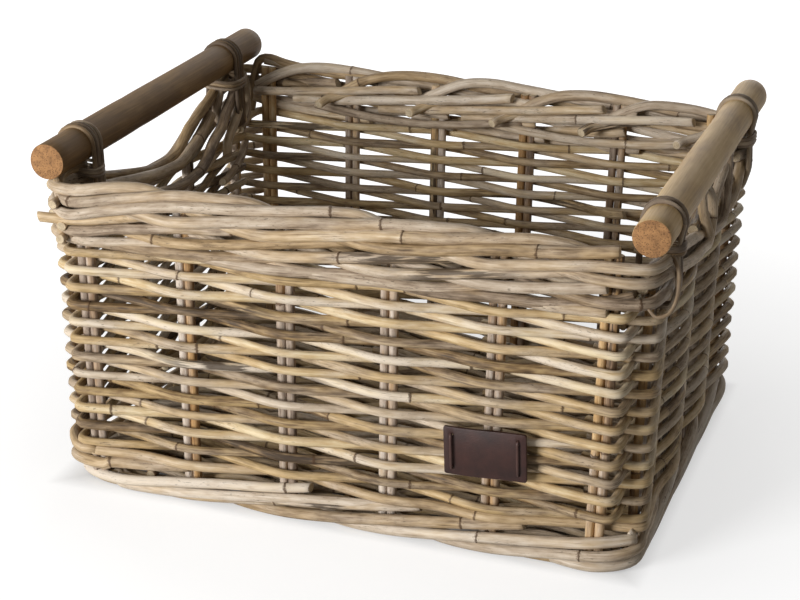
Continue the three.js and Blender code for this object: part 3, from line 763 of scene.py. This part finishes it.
for number in range(MAT_ROWS):
    y = -MAT_Y + 2 * MAT_Y * number / (MAT_ROWS - 1)
    heading = 1 if number % 2 == 0 else -1
    points.append((-heading * (MAT_X - 1.5), y, STICK_Z))
    for i in range(STICKS):
        stick = i if heading > 0 else STICKS - 1 - i
        over = 1 if (stick + number) % 2 == 0 else -1
        points.append(((stick - 2) * STICK_PITCH, y + rng.normal(0, 0.15), STICK_Z + over * MAT_RISE))
    points.append((heading * (MAT_X - 1.5), y, STICK_Z))
    if number % ROWS_PER_CANE == ROWS_PER_CANE - 1 or number == MAT_ROWS - 1:
        canes.append(sweep(points, MAT_CANE, rng, tone=rng.uniform(0.3, 0.8), step=6, fine=5))
        points = []
    else:
        points.append((heading * (MAT_X + 1.2), y + MAT_Y / (MAT_ROWS - 1), STICK_Z))
make_piece("base_mat_cane", canes, weaver_bark, node="base_weaver")
print("Floor woven of", len(canes), "canes in", MAT_ROWS, "rows")

# %% [markdown]
# ## The rim of the long walls
# Each upper border cane starts outside, under its neighbour, climbs past two stakes and rolls over the top,
# which makes one hump of the scalloped edge. Then it goes down inside, behind other canes. A second family
# lies below it, and a third one, the shortest, closes the border against the weaving. Inside there are three
# more: canes that sink slowly and are cut square, short ones whose round ends look out between them, and a
# low one that closes the border on this side too.

# %% Paths of the rim canes: along the wall, height, distance outside the stakes
UPPER_PATH = ((-46, 214, -4), (-24, 212.4, 0), (-2, 209.6, 6), (27, 206.4, 9.2), (62, 210.6, 9.4),
              (108, 216.4, 8.4), (150, 219.6, 7), (184, 223.2, 5.4), (212, 225.2, 2.6), (233, 223, -1.8),
              (251, 216, -4), (266, 207, -4.4))
LOWER_PATH = ((-46, 199.5, -4), (-26, 197.2, 0), (-2, 193.8, 5.5), (28, 191.2, 8.8), (66, 196, 9.2),
              (108, 201.6, 8.4), (140, 205.4, 5.8), (166, 208.5, 1))
LOWEST_PATH = ((-60, 187, 0.5), (-36, 184.9, 5.5), (-5, 183.6, 8), (30, 183.6, 8.2), (66, 185.8, 7.4),
               (100, 189.8, 4.2), (124, 194, 0))
INNER_PATH = ((0, 217.6, -9), (24, 215.4, -9.8), (62, 210.6, -10.6), (108, 205.4, -10.2), (140, 201.6, -7.6),
              (166, 198.6, -3.6), (184, 197, 0))
PEG_PATH = ((-16, 211, -2), (4, 209, -5), (16, 206.4, -9), (24, 204, -15), (28, 202.2, -23))
INNER_LOW_PATH = ((0, 200, -3), (18, 197.4, -8.6), (56, 193.4, -10.6), (104, 192, -10), (146, 194, -7),
                  (170, 195.4, -2))
# Of each family: the path, the thickness, how far after a stake it starts, in gaps, and the range of tones
FAMILIES = ((UPPER_PATH, 7.9, 0.5, (0.38, 0.62)), (LOWER_PATH, 7.7, 0.53, (0.35, 0.7)),
            (LOWEST_PATH, 7.3, 0.6, (0.25, 0.75)), (INNER_PATH, 7.3, 0.165, (0.35, 0.9)),
            (PEG_PATH, 7.3, -0.1, (0.35, 0.8)), (INNER_LOW_PATH, 6.8, 0.05, (0.25, 0.8)))
print(len(FAMILIES), "families of canes in the rim")

# %% [markdown]
# The last upper and lower canes of a wall are left out here, because they turn into the rope of the end. The
# rim of the back wall is drawn a little paler, which is painted light on it: its tone is raised by 0.2.

# %% Rim of the long walls
INSIDE = (INNER_PATH, PEG_PATH, INNER_LOW_PATH)
LIMIT, SHORTEST = (-199, 195), 45
# The back rim's tone is raised by 0.2 as painted light on that rim.
for wall, seed, painted_light_tone in (("front", 801, 0.0), ("back", 802, 0.2)):
    rng = chance(seed)
    canes = []
    for path, thickness, lag, tones in FAMILIES:
        step = GAP if path is not INNER_LOW_PATH else 2 * GAP
        for k in range(-4, 7):
            grey = rng.uniform(0.35, 0.85)
            start = -HALF_X + LONG_INSET + lag * GAP + k * step + rng.uniform(-4, 4)
            if (path is UPPER_PATH and start > 55) or (path is LOWER_PATH and start > 125):
                continue
            points = lay(wall, start, path, rng, LIMIT, 0.55, rng.uniform(-0.8, 0.8),
                         poke=path is LOWER_PATH and k == -2)
            if path in INSIDE and not -196 < start < 150:
                continue
            if len(points) > 3 and lengths_of(np.array(points))[-1] > SHORTEST:
                canes.append(sweep(points, thickness * rng.uniform(0.93, 1.06), rng, grey=grey,
                                   tone=rng.uniform(*tones) + painted_light_tone, nodes=(120, 320), slant=(1.5, 0.3)))
    make_piece(f"rim_{wall}", canes, rim_bark)
    print("Rim of the", wall, "wall:", len(canes), "canes")

# %% [markdown]
# ## The dips at both ends
# Below each pole the border has to leave room for a hand. The canes come round one corner, run down together
# on top of the weaving, and fan out steeply again under the rear lashing, where some are bound to the pole.
# A path gives, from front to back, the place, the height and the distance outside the stakes.

# %% Paths of the canes at the right end
RIGHT_PATHS = {
    "crest": ((-150, 214, 8.4), (-104, 207, 8.2), (-52, 196, 7), (-6, 185.5, 6.2), (22, 185.5, 5.4),
              (47, 197, 4.8), (72, 208, 4.2), (98, 215.5, 4), (128, 217.5, 6), (150, 217, 8.2)),
    "folded": ((-150, 205.5, 8.8), (-104, 195, 9.2), (-60, 184.5, 9.4), (-22, 178.6, 9.8), (4, 177.6, 9.8),
               (15, 186, 8.8), (17.5, 198, 7.2), (14.5, 208.5, 5), (6, 215.6, 3), (-2.5, 212.6, 3.4),
               (-7, 203, 5.8), (-8, 193.5, 8.6), (-7.5, 185.5, 10.8)),
    "straw": ((-150, 192.5, 8.8), (-106, 186, 6.5), (-58, 179.5, 2.5), (-10, 176.2, 1.5), (28, 175.8, 7.4),
              (50, 178.5, 10.4), (63, 191, 9.6), (72, 204, 7.2), (81, 213.6, 5.4), (94, 218, 2),
              (110, 217.6, -2), (122, 214.5, -4.4)),
    "broad": ((-150, 187, 0.5), (-100, 182, -4), (-40, 176.4, -6.5), (10, 176.2, -5), (46, 176.4, 1.5),
              (76, 179.5, 8.8), (101, 187, 9.6), (126, 199, 8.6), (150, 207.5, 8.4)),
    "inner": ((-150, 207, -2.5), (-100, 197, -3), (-50, 189.5, -2), (-4, 184, -2.5), (20, 183.6, -3.6),
              (42, 193, -4.6), (68, 204, -5.2), (97, 212, -5), (126, 214, -5), (152, 212, -4.5)),
    "thick": ((-150, 197, -3), (-98, 190, -7), (-40, 184, -9.4), (24, 178.2, -9.6), (70, 178, -9.6),
              (98, 186, -9.4), (118, 200, -8.6), (136, 213, -7), (158, 217, -6)),
    "low": ((-20, 192.2, 2.6), (16, 191.4, 0.6), (52, 188, -1), (92, 189.5, 4.4), (124, 190.5, 8),
            (150, 192.6, 8.8)),
    "upright": ((101, 186, -6), (105, 196, -6.6), (107, 207, -6.4), (107, 218, -5)),
}
print("Right end:", len(RIGHT_PATHS), "canes")

# %% [markdown]
# The left end is seen from inside. Its fan is more open, and some canes end in it: one is clipped square, one
# is blunt, one is hooked up behind the lashing, and a thin tail hangs down inside.

# %% Paths of the canes at the left end
LEFT_PATHS = {
    "crest": ((-150, 214, 8.4), (-104, 205, 8.4), (-52, 191, 7.6), (-6, 180.5, 7.2), (24, 178.2, 7),
              (40, 181, 6.6), (52, 187, 6.4), (63, 193.5, 6), (76, 199, 5.6), (92, 205, 5.2),
              (112, 211.5, 5), (132, 216, 6.4), (150, 217, 8.2)),
    "broad": ((-150, 203, 8.8), (-104, 193, 9.2), (-50, 183, 9.8), (6, 177.6, 10.2), (38, 177.8, 10.2),
              (56, 183, 9.8), (72, 191, 9.2), (96, 201.5, 8.6), (130, 207, 8.4), (150, 207.5, 8.4)),
    "low": ((-150, 193, 8.6), (-100, 186, 5), (-40, 178.2, 1), (20, 176, -0.5), (56, 176.4, 1),
            (92, 181.5, 5.5), (124, 188.5, 8), (150, 192.6, 8.8)),
    "clipped": ((-150, 207, -2.5), (-96, 198, -3), (-44, 187, -2.5), (0, 178.6, -3), (30, 177, -2),
                (50, 181.6, -1), (66, 186.5, 0), (82, 191.5, 0.8), (96, 196.5, 1.4)),
    "crossing": ((-120, 190, -8), (-60, 180, -12.5), (-6, 170, -15.5), (30, 169.4, -15), (50, 174, -13),
                 (64, 178.6, -11), (78, 182.6, -9), (92, 187.4, -7.6), (105, 193.4, -6.4), (116, 201, -5.6),
                 (126, 209, -5.2), (133, 217, -4.6)),
    "upright": ((111, 186, 1.6), (109, 196, 2.2), (112, 206, 2.4), (116, 217, 1.6)),
    "hooked": ((128, 176.6, -8), (139, 181, -7.4), (147, 188, -6), (151, 197, -4), (151, 207, -3.2),
               (149, 217, -2.6)),
    "blunt": ((131, 202, -7), (122, 193, -9.4), (110, 186.4, -10.4), (101, 179.4, -11.4),
              (94, 173.4, -12.6), (89, 167.5, -14)),
    "tail": ((143, 163, -6), (122, 157.5, -11.8), (106, 152.6, -13), (88, 150, -14.5), (71, 151.4, -17)),
}
END_CANE = 7.6
END_THICKNESS = {"folded": 7.4, "broad": 8.8, "thick": 8.6, "upright": 7.0, "crossing": 8.6,
                 "clipped": 8.4, "tail": 6.4}
print("Left end:", len(LEFT_PATHS), "canes")

# %% [markdown]
# The three canes that arrive from the wall before each end keep their way round its corner. At the front left
# corner three more ends stick out between the canes of the front wall, as clipped ends do, and at the back
# left corner a cane of the back wall is folded over into a loop and bound in with the fan.

# %% Rim of the ends
HEADS = (((56, 212, 0.5), (73, 209.6, 6), (101, 206.6, 9.2), (136, 210.6, 9.4), (172, 214.8, 9),
          (194, 215.5, 8.4)),
         ((122, 213, 0.5), (145, 209.6, 6), (172, 206.8, 9.4), (194, 206.2, 9)),
         ((120, 197.5, 0.5), (146, 193.8, 5.5), (174, 191.4, 9.2), (194, 192.2, 9)))
ENDS = {"right": ("front", 1, RIGHT_PATHS, ("crest", "folded", "straw")),
        "left": ("back", -1, LEFT_PATHS, ("crest", "broad", "low"))}
LOOP = ((-96, 165, 219), (-140, 166, 220.5), (-170, 167, 224), (-184, 167.5, 227), (-192, 168, 224.5),
        (-196, 168, 214), (-197, 166, 203), (-196.5, 163, 192), (-196, 157, 183.5), (-196, 144, 177.5),
        (-196, 126, 177))
LOOP_CANE, POKING_CANE, TURN_OUT = 7.4, 6.6, 8.6
POKING = ((-198.5, 208.5), (-192.5, 193.9), (-194.0, 184.6))

for end_name, (start_wall, end_side, paths, joined) in ENDS.items():
    rng = chance(850 + end_side)
    lines = []
    for cane_name, path in paths.items():
        points = [on_wall(end_name, end_side * y, z, out) + rng.normal(0, 0.4, 3) for y, z, out in path]
        points = points[::end_side]
        if cane_name in joined:
            before = [on_wall(start_wall, *place) for place in HEADS[joined.index(cane_name)]]
            turn_z = (before[-1][2] + points[0][2]) / 2
            points = before + [all_round(MIDDLE_OF[start_wall] + HALF_X, turn_z, TURN_OUT)] + points
        lines.append((END_THICKNESS.get(cane_name, END_CANE), points))
    if end_name == "left":
        lines.append((LOOP_CANE, LOOP))
        lines += [(POKING_CANE, ((x - 3, -96, z - 4), (x - 2, -130, z - 2), (x, -156, z),
                                 (x + 1, -174.5, z + 0.5))) for x, z in POKING]
    canes = [sweep(points, thickness * rng.uniform(0.96, 1.04), rng, sides=12, grey=0.5,
                   tone=rng.uniform(0.15, 0.7), nodes=(120, 300), slant=(1.2, 0.6))
             for thickness, points in lines]
    make_piece(f"rim_end_{end_name}", canes, rim_bark)
    print("Rim of the", end_name, "end:", len(canes), "canes")
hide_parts(*[f"rim_cane_{j + 1}" for j in range(RIM_CANES)], "rim_inner_front")
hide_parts("rim_inner_back")

# %% [markdown]
# ## The carrying poles
# Each pole is a straight piece of thick rattan, peeled and smoked dark, and sawn off square. It starts as a
# cylinder. Its sawn edges are bevelled a little, and the length is cut into short pieces so that the pole can
# be given the slight swellings of a grown stem. Its sheen is low, because smoke leaves it dull.

# %% Material: smoked pole


def pole_bark(name, stops, seed):
    material, tree = start_material(name)
    place = add(tree, "ShaderNodeTexCoord").outputs["Object"]
    grain = noise(stretched(place, (1, 0.03, 1), (seed, 0, 0)), 850, 4)
    cloud = noise(stretched(place, (1, 0.3, 1), (seed, 0, 0)), 55, 3)
    colour = ramp(maths("MULTIPLY_ADD", grain, 0.4, cloud), stops)
    dress(colour, span(cloud, 0, 1, 0.65, 0.45), 0.1, grain, 0.25, 0.0004)
    return material


pole_left = pole_bark("rattan_pole_smoked", [(0.42, "#5b452c"), (0.7, "#7b6040"), (1, "#9f8056")], 0)
pole_right = pole_bark("rattan_pole_faded", [(0.42, "#8b6f4b"), (0.7, "#ba9c70"), (1, "#d9be93")], 3)
print("Two kinds of smoked pole")

# %% [markdown]
# Four short functions do what a modeller does by hand: pick a piece, fix its place and size in its mesh,
# bevel some edges, and slice it so that it can bend.

# %% Poles
POLE_SLICES = 30


def pick(piece=None):
    """Selects this piece alone and makes it active, or selects nothing."""
    for other in bpy.context.selected_objects:
        other.select_set(False)
    if piece:
        piece.select_set(True)
        bpy.context.view_layer.objects.active = piece


def into_mesh(piece):
    """Puts the object's place, turn and size into its mesh."""
    pick(piece)
    bpy.ops.object.transform_apply(location=True, rotation=True, scale=True)


def bevel(piece, kind, chosen, offset, segments):
    """Bevels the edges that are chosen, or the edges of the faces that are chosen."""
    bpy.ops.object.mode_set(mode="EDIT")
    bpy.ops.mesh.select_mode(type=kind)
    bpy.ops.mesh.select_all(action="DESELECT")
    bpy.ops.object.mode_set(mode="OBJECT")
    for element in piece.data.edges if kind == "EDGE" else piece.data.polygons:
        element.select = chosen(element)
    bpy.ops.object.mode_set(mode="EDIT")
    bpy.ops.mesh.bevel(offset=offset * MM, segments=segments, affect="EDGES")
    bpy.ops.object.mode_set(mode="OBJECT")


def slices(places, normal):
    """Cuts the picked piece across at these places."""
    bpy.ops.object.mode_set(mode="EDIT")
    for place in places:
        bpy.ops.mesh.select_all(action="SELECT")
        bpy.ops.mesh.bisect(plane_co=place, plane_no=normal)
    bpy.ops.object.mode_set(mode="OBJECT")


for end_name, end_side, bark in (("left", -1, pole_left), ("right", 1, pole_right)):
    rng = chance(900 + end_side)
    low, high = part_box(f"carry_pole_{end_name}")
    middle, length = (low + high) / 2, high.y - low.y
    pick()
    bpy.ops.mesh.primitive_cylinder_add(vertices=40, radius=POLE_RADIUS * MM, depth=length, location=middle,
                                        rotation=(math.pi / 2, 0, 0))
    pole = bpy.context.object
    pole.name = f"pole_{end_name}"
    pole.data.materials.append(bark)
    pole.data.materials.append(pole_end)
    for face in pole.data.polygons:
        face.material_index = 1 if len(face.vertices) > 4 else 0
    bevel(pole, "FACE", lambda face: len(face.vertices) > 4, 0.9, 2)
    into_mesh(pole)
    slices([(0, low.y + length * k / POLE_SLICES, 0) for k in range(1, POLE_SLICES)], (0, 1, 0))
    phase = rng.uniform(0, 6, 4)
    for v in pole.data.vertices:
        share = (v.co.y - low.y) / length
        swell = 1 + 0.012 * math.sin(9 * share + phase[0]) - 0.02 * math.exp(-((share - 0.37) * 34) ** 2)
        angle = math.atan2(v.co.z - middle.z, v.co.x - middle.x)
        swell += 0.008 * math.sin(3 * angle + 5 * share + phase[1])
        v.co.x = middle.x + (v.co.x - middle.x) * swell
        v.co.z = middle.z + (v.co.z - middle.z) * swell
    bpy.ops.object.shade_smooth_by_angle(angle=math.radians(35))
    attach(pole, "root")
    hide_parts(f"carry_pole_{end_name}")
print("Two poles,", round(length * 1000), "mm long")

# %% [markdown]
# ## The lashings
# A split cane, flat on one side, goes several times round the pole and down round the rope of rim canes. It
# then turns three times round its own legs under the pole, which pulls them tight. At the front right its
# end comes out over the rim and is tucked under.

# %% Split cane and the way of a turn
split_cane = rattan(
    "rattan_split_cane", [(0, "#36291c"), (0.4, "#574430"), (0.7, "#735d42"), (1, "#968062")],
    [(0, "#3d342b"), (0.4, "#5e5144"), (0.7, "#7c6d5d"), (1, "#9c8d7b")])
# For each lashing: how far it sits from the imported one, and the places of its turns beside each other
LASHINGS = {("front", "left"): (0.0, (-4.6, -1.2, 2.4, 5.6)), ("back", "left"): (3.0, (-5.6, -1.6, 2.0, 5.4)),
            ("front", "right"): (-9.0, (-3.4, 3.0)), ("back", "right"): (0.0, (-3.8, 0.0, 3.8))}
LASH_TAIL = ((214, -140, 216), (219.5, -148, 211), (222, -157, 204), (222, -163, 196), (219, -169.5, 189.5),
             (212, -171.5, 187), (206, -167, 190))
COLLAR_CANE, COLLAR_TURNS, COLLAR_Z = 2.9, 3, POLE_Z - POLE_RADIUS - 2.4


def rounded(value, power):
    """Pushes a sine or cosine towards 1, which squares a circle."""
    return math.copysign(abs(value) ** power, value)


def lash_turn(end_side, y, extra, skew, bottom_z, half=12):
    """One turn of split cane round the pole and the canes below, as points in millimetres."""
    radius, reach = POLE_RADIUS + FIT + extra, RIM_PITCH + RIM / 2 + 2 * FIT + extra
    depth = RIM / 2 + 2 * FIT + extra
    over, under = [], []
    for k in range(half + 1):
        c, s, place = math.cos(math.pi * k / half), math.sin(math.pi * k / half), y + skew * k / half / 2
        over.append((POLE_X + radius * c, place, POLE_Z + radius * s))
        under.append((HALF_X - reach * rounded(c, 0.5), place + skew / 2, bottom_z - depth * rounded(s, 0.5)))
    # The outer leg climbs over the canes, under the collar, and closes the turn at the pole.
    y += 1.5 * skew
    leg = [(HALF_X + out, y, z) for out, z in ((14.4, bottom_z + 9), (14.2, bottom_z + 20),
                                               (13.6, POLE_Z - POLE_RADIUS - 5))]
    return np.array(over + under + leg + [(POLE_X + radius, y, POLE_Z)]) * [end_side, 1, 1]


def collar_turn(end_side, y, z, lift):
    """One turn round the legs, under the pole."""
    reach_y, points = 8.5 if y < 0 else 15.0, []
    for angle in np.linspace(0, 2 * math.pi, 25):
        c, s = math.cos(angle), math.sin(angle)
        points.append((end_side * (HALF_X + 1.5 + 15.2 * rounded(c, 0.6)), y + reach_y * rounded(s, 0.7),
                       z + lift * s + 0.8 * c))
    return points


print(len(LASHINGS), "lashings to wind")

# %% [markdown]
# A split cane has no whole nodes left, so these are swept without rings. Each turn lies a little askew and
# every second one a little higher, as when a hand winds them.

# %% Lashings
for end_name, end_side in (("left", -1), ("right", 1)):
    for place, y in (("front", -LASHING_Y), ("back", LASHING_Y)):
        rng = chance(950 + end_side * 3 + (1 if y > 0 else 0))
        bottom = bundle_height(0, y)
        move, turns = LASHINGS[place, end_name]
        y += move
        canes = []
        for k, offset in enumerate(turns):
            line = lash_turn(end_side, y + offset, 0.5 + 0.2 * (k % 2), rng.uniform(-1.0, 2.0), bottom)
            canes.append(sweep(line, rng.uniform(2.9, 3.5), rng, tone=rng.uniform(0.35, 0.95),
                               sides=8, nodes=None, step=3.5))
        for k in range(COLLAR_TURNS):
            line = collar_turn(end_side, y, COLLAR_Z - 2.5 * k, rng.uniform(-0.8, 0.8))
            canes.append(sweep(line, COLLAR_CANE, rng, tone=rng.uniform(0.3, 0.95), sides=8,
                               nodes=None, step=3.0))
        if (place, end_name) == ("front", "right"):
            canes.append(sweep(LASH_TAIL, 3.4, rng, tone=0.75, sides=8, nodes=None, step=2.5,
                               narrow=0.6))
        make_piece(f"lash_{place}_{end_name}", canes, split_cane,
                   node=f"lashing_{place}_{end_name}")
        print("Lashing", place, end_name, "of", len(turns), "turns")

# %% [markdown]
# ## The leather label
# A small piece of smooth dark leather, 56 by 34 mm and 2 mm thick, is laced on to the front wall. It stays
# bare. Leather shows fine pebbles and soft clouds of darker dye, and where it is waxed it shines a little.

# %% Material: leather


def leather(name, base, deep, rough):
    material, tree = start_material(name)
    place = add(tree, "ShaderNodeTexCoord").outputs["Object"]
    pebble = add(tree, "ShaderNodeTexVoronoi", {"Vector": place, "Scale": 1300}, feature="SMOOTH_F1")
    colour = blend(span(noise(place, 90, 4), 0.3, 0.7), deep, base)
    dress(colour, rough, 0.25, pebble.outputs["Distance"], 0.3, 0.0003)
    return material


label_leather = leather("leather_dark_brown", "#38201b", "#251411", 0.44)
lace_leather = leather("leather_lace", "#4a322c", "#34221e", 0.4)
print("Leather for the label and its laces")

# %% [markdown]
# The label starts as a cube at the size of the real one. Its upright edges are rounded, its front edge is
# bevelled, as a leather edge is, and four holes are punched. Then it is sliced, bent to follow the canes
# behind it, and set on the wall, which leans out.

# %% Label
LABEL_W, LABEL_H, LABEL_T, LABEL_Z = 56.0, 34.0, 2.0, 73.0
HOLE_X, HOLE_Y, HOLE_RADIUS = 22.5, 12.0, 1.25
tilt = math.atan(FLARE / (RIM_TOP - FRAME_TOP))
label_y = -(HALF_Y - lean(LABEL_Z) + stand_off(WEAVER) + WEAVER / 2 + 2 * FIT)
turn = Matrix.Rotation(math.pi / 2 + tilt, 4, "X") @ Matrix.Rotation(math.radians(2.5), 4, "Z")
low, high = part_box("leather_label")
seat = Vector(((low.x + high.x) / 2 + 3.2 * MM, (label_y + SHIFT[1]) * MM, (LABEL_Z + SHIFT[2] + 3.0) * MM))
on_the_wall = Matrix.Translation(seat) @ turn
pick()
bpy.ops.mesh.primitive_cube_add(size=1)
label = bpy.context.object
label.name = "label"
label.scale = (LABEL_W * MM, LABEL_H * MM, LABEL_T * MM)
label.location = (0, 0, LABEL_T / 2 * MM)
into_mesh(label)
corners = label.data.vertices
bevel(label, "EDGE", lambda edge: abs(corners[edge.vertices[0]].co.z - corners[edge.vertices[1]].co.z)
      > LABEL_T / 2 * MM, 1.6, 4)
bevel(label, "FACE", lambda face: face.normal.z > 0.9, 0.5, 2)
for x in (-HOLE_X, HOLE_X):
    for y in (-HOLE_Y, HOLE_Y):
        pick()
        bpy.ops.mesh.primitive_cylinder_add(vertices=16, radius=HOLE_RADIUS * MM, depth=10 * MM,
                                            location=(x * MM, y * MM, 0))
        punch = bpy.context.object
        cut = label.modifiers.new("hole", "BOOLEAN")
        cut.object = punch
        cut.solver = "EXACT"
        bpy.context.view_layer.objects.active = label
        bpy.ops.object.modifier_apply(modifier=cut.name)
        bpy.data.objects.remove(punch)
pick(label)
slices([((k * 4.1 + 0.3) * MM, 0, 0) for k in range(-6, 7)], (1, 0, 0))
for v in label.data.vertices:
    across = v.co.x / (LABEL_W / 2 * MM)
    v.co.z += 0.5 * MM * math.sin(2.4 * across + 0.6) - 0.2 * MM
    v.co.y += 0.35 * MM * math.sin(3.0 * across)
label.matrix_world = on_the_wall
into_mesh(label)
label.data.materials.append(label_leather)
bpy.ops.object.shade_smooth_by_angle(angle=math.radians(40))
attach(label, "root")
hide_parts("leather_label")
print("Label with", len(label.data.polygons), "faces")

# %% [markdown]
# A thin round lace goes through two holes at each side of the label. It comes up through the lower one, lies
# on the leather, and goes down again through the upper one.

# %% Laces
LACE, ON_LEATHER = 1.9, LABEL_T + 1.3  # thickness, and the height of the lace's middle on the label
for name, side in (("left", -1), ("right", 1)):
    rng = chance(990 + side)
    up = [(-HOLE_Y, -2.3), (-HOLE_Y, ON_LEATHER - 0.9), (-11.2, ON_LEATHER - 0.2), (-6, ON_LEATHER)]
    way = up + [(-y, z) for y, z in up[::-1]]
    line = [np.array(on_the_wall @ (Vector((side * HOLE_X, y, z)) * MM)) / MM - SHIFT for y, z in way]
    lace = sweep(line, LACE, rng, nodes=None, step=1.0, fine=1.0)
    make_piece(f"lace_{name}", [lace], lace_leather, end=lace_leather,
               node=f"label_lace_{name}")
print("Two laces")

# %% [markdown]
# ## Floor and background
# White paper takes a soft shadow. Near the basket the lamps light it, and its own glow, which only the camera
# and reflections see, is painted light that lies over it there too and pales the shadow, but not under the
# basket. Further away the glow grows and carries it to the white of the background. So the paper stays white
# without more light on the canes.

# %% Floor
GLOW_NEAR, GLOW_FAR, GLOW_START, GLOW_END = 0.68, 1.0, 0.26, 0.75
FOOTPRINT = (0.4, 0.32)  # no glow in the basket's own shadow


def seen_directly(tree):
    """1 where the camera, a reflection or a clear piece looks at the surface, and 0 for its light."""
    path = add(tree, "ShaderNodeLightPath")
    either = maths("MAXIMUM", path.outputs["Is Camera Ray"], path.outputs["Is Glossy Ray"])
    return maths("MAXIMUM", either, path.outputs["Is Transmission Ray"])


pick()
bpy.ops.mesh.primitive_plane_add(size=14, location=(0, 0, -0.0006))
floor = bpy.context.object
floor.name = "studio_floor"
floor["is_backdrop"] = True
paper, tree = start_material("studio_paper")
spot = add(tree, "ShaderNodeTexCoord").outputs["Object"]
away = add(tree, "ShaderNodeVectorMath", {0: spot}, operation="LENGTH").outputs["Value"]
parts = add(tree, "ShaderNodeSeparateXYZ", {"Vector": spot})
sides_away = [maths("SUBTRACT", maths("ABSOLUTE", parts.outputs[axis]), full / 2)
              for axis, full in zip("XY", FOOTPRINT)]
open_floor = span(maths("MAXIMUM", *sides_away), -0.03, 0.015)
glow = span(away, GLOW_START, GLOW_END, GLOW_FAR, GLOW_NEAR)
glow = maths("MULTIPLY", maths("MULTIPLY", glow, open_floor), seen_directly(tree))
for key, value in (("Base Color", linear("#bababa")), ("Roughness", 0.95), ("Specular IOR Level", 0.0),
                   ("Emission Color", (1, 1, 1, 1)), ("Emission Strength", glow)):
    feed(tree.nodes["Principled BSDF"], key, value)
floor.data.materials.append(paper)
print("Paper floor laid")

# %% [markdown]
# ## Light
# One large soft lamp stands low at the front left, as in the photograph, where the right wall lies in shade.
# Weak ones at the side and above fill in, and one behind lights the inside of the front wall and the poles.
# The world is white where the camera sees it and gives only a little warm light.

# %% World and lamps
world = bpy.data.worlds.new("studio")
scene.world = world
world.use_nodes = True
tree = world.node_tree
plain = tree.nodes["Background"]
plain.inputs["Color"].default_value = (1, 0.97, 0.92, 1)
plain.inputs["Strength"].default_value = 0.1
seen = add(tree, "ShaderNodeBackground", {"Color": (1, 1, 1, 1), "Strength": 1.0})
mixed = add(tree, "ShaderNodeMixShader", {0: seen_directly(tree), 1: plain.outputs[0], 2: seen.outputs[0]})
feed(tree.nodes["World Output"], "Surface", mixed.outputs[0])

LAMPS = (("key", (-1.2, -2.17, 0.62), 1.0, 77.5), ("side", (1.7, -0.9, 1.1), 1.0, 1.2),
         ("top", (-0.2, -0.1, 2.0), 1.0, 3.2), ("back", (-0.3, 2.2, 0.8), 1.4, 14.0))
for name, spot, size, power in LAMPS:
    bpy.ops.object.light_add(type="AREA", location=spot)
    lamp = bpy.context.object
    lamp.name = "lamp_" + name
    lamp.data.size, lamp.data.energy = size, power
    lamp.rotation_euler = (Vector((0, 0, 0.1)) - Vector(spot)).to_track_quat("-Z", "Y").to_euler()
scene.view_settings.view_transform = "Standard"
print(len(LAMPS), "lamps")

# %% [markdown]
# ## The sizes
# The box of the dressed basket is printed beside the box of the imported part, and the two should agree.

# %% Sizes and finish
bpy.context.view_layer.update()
for label_text, (low, high) in (("Part", cad_box), ("Basket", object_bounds())):
    print(label_text, [round(1000 * v) for v in low], [round(1000 * v) for v in high])
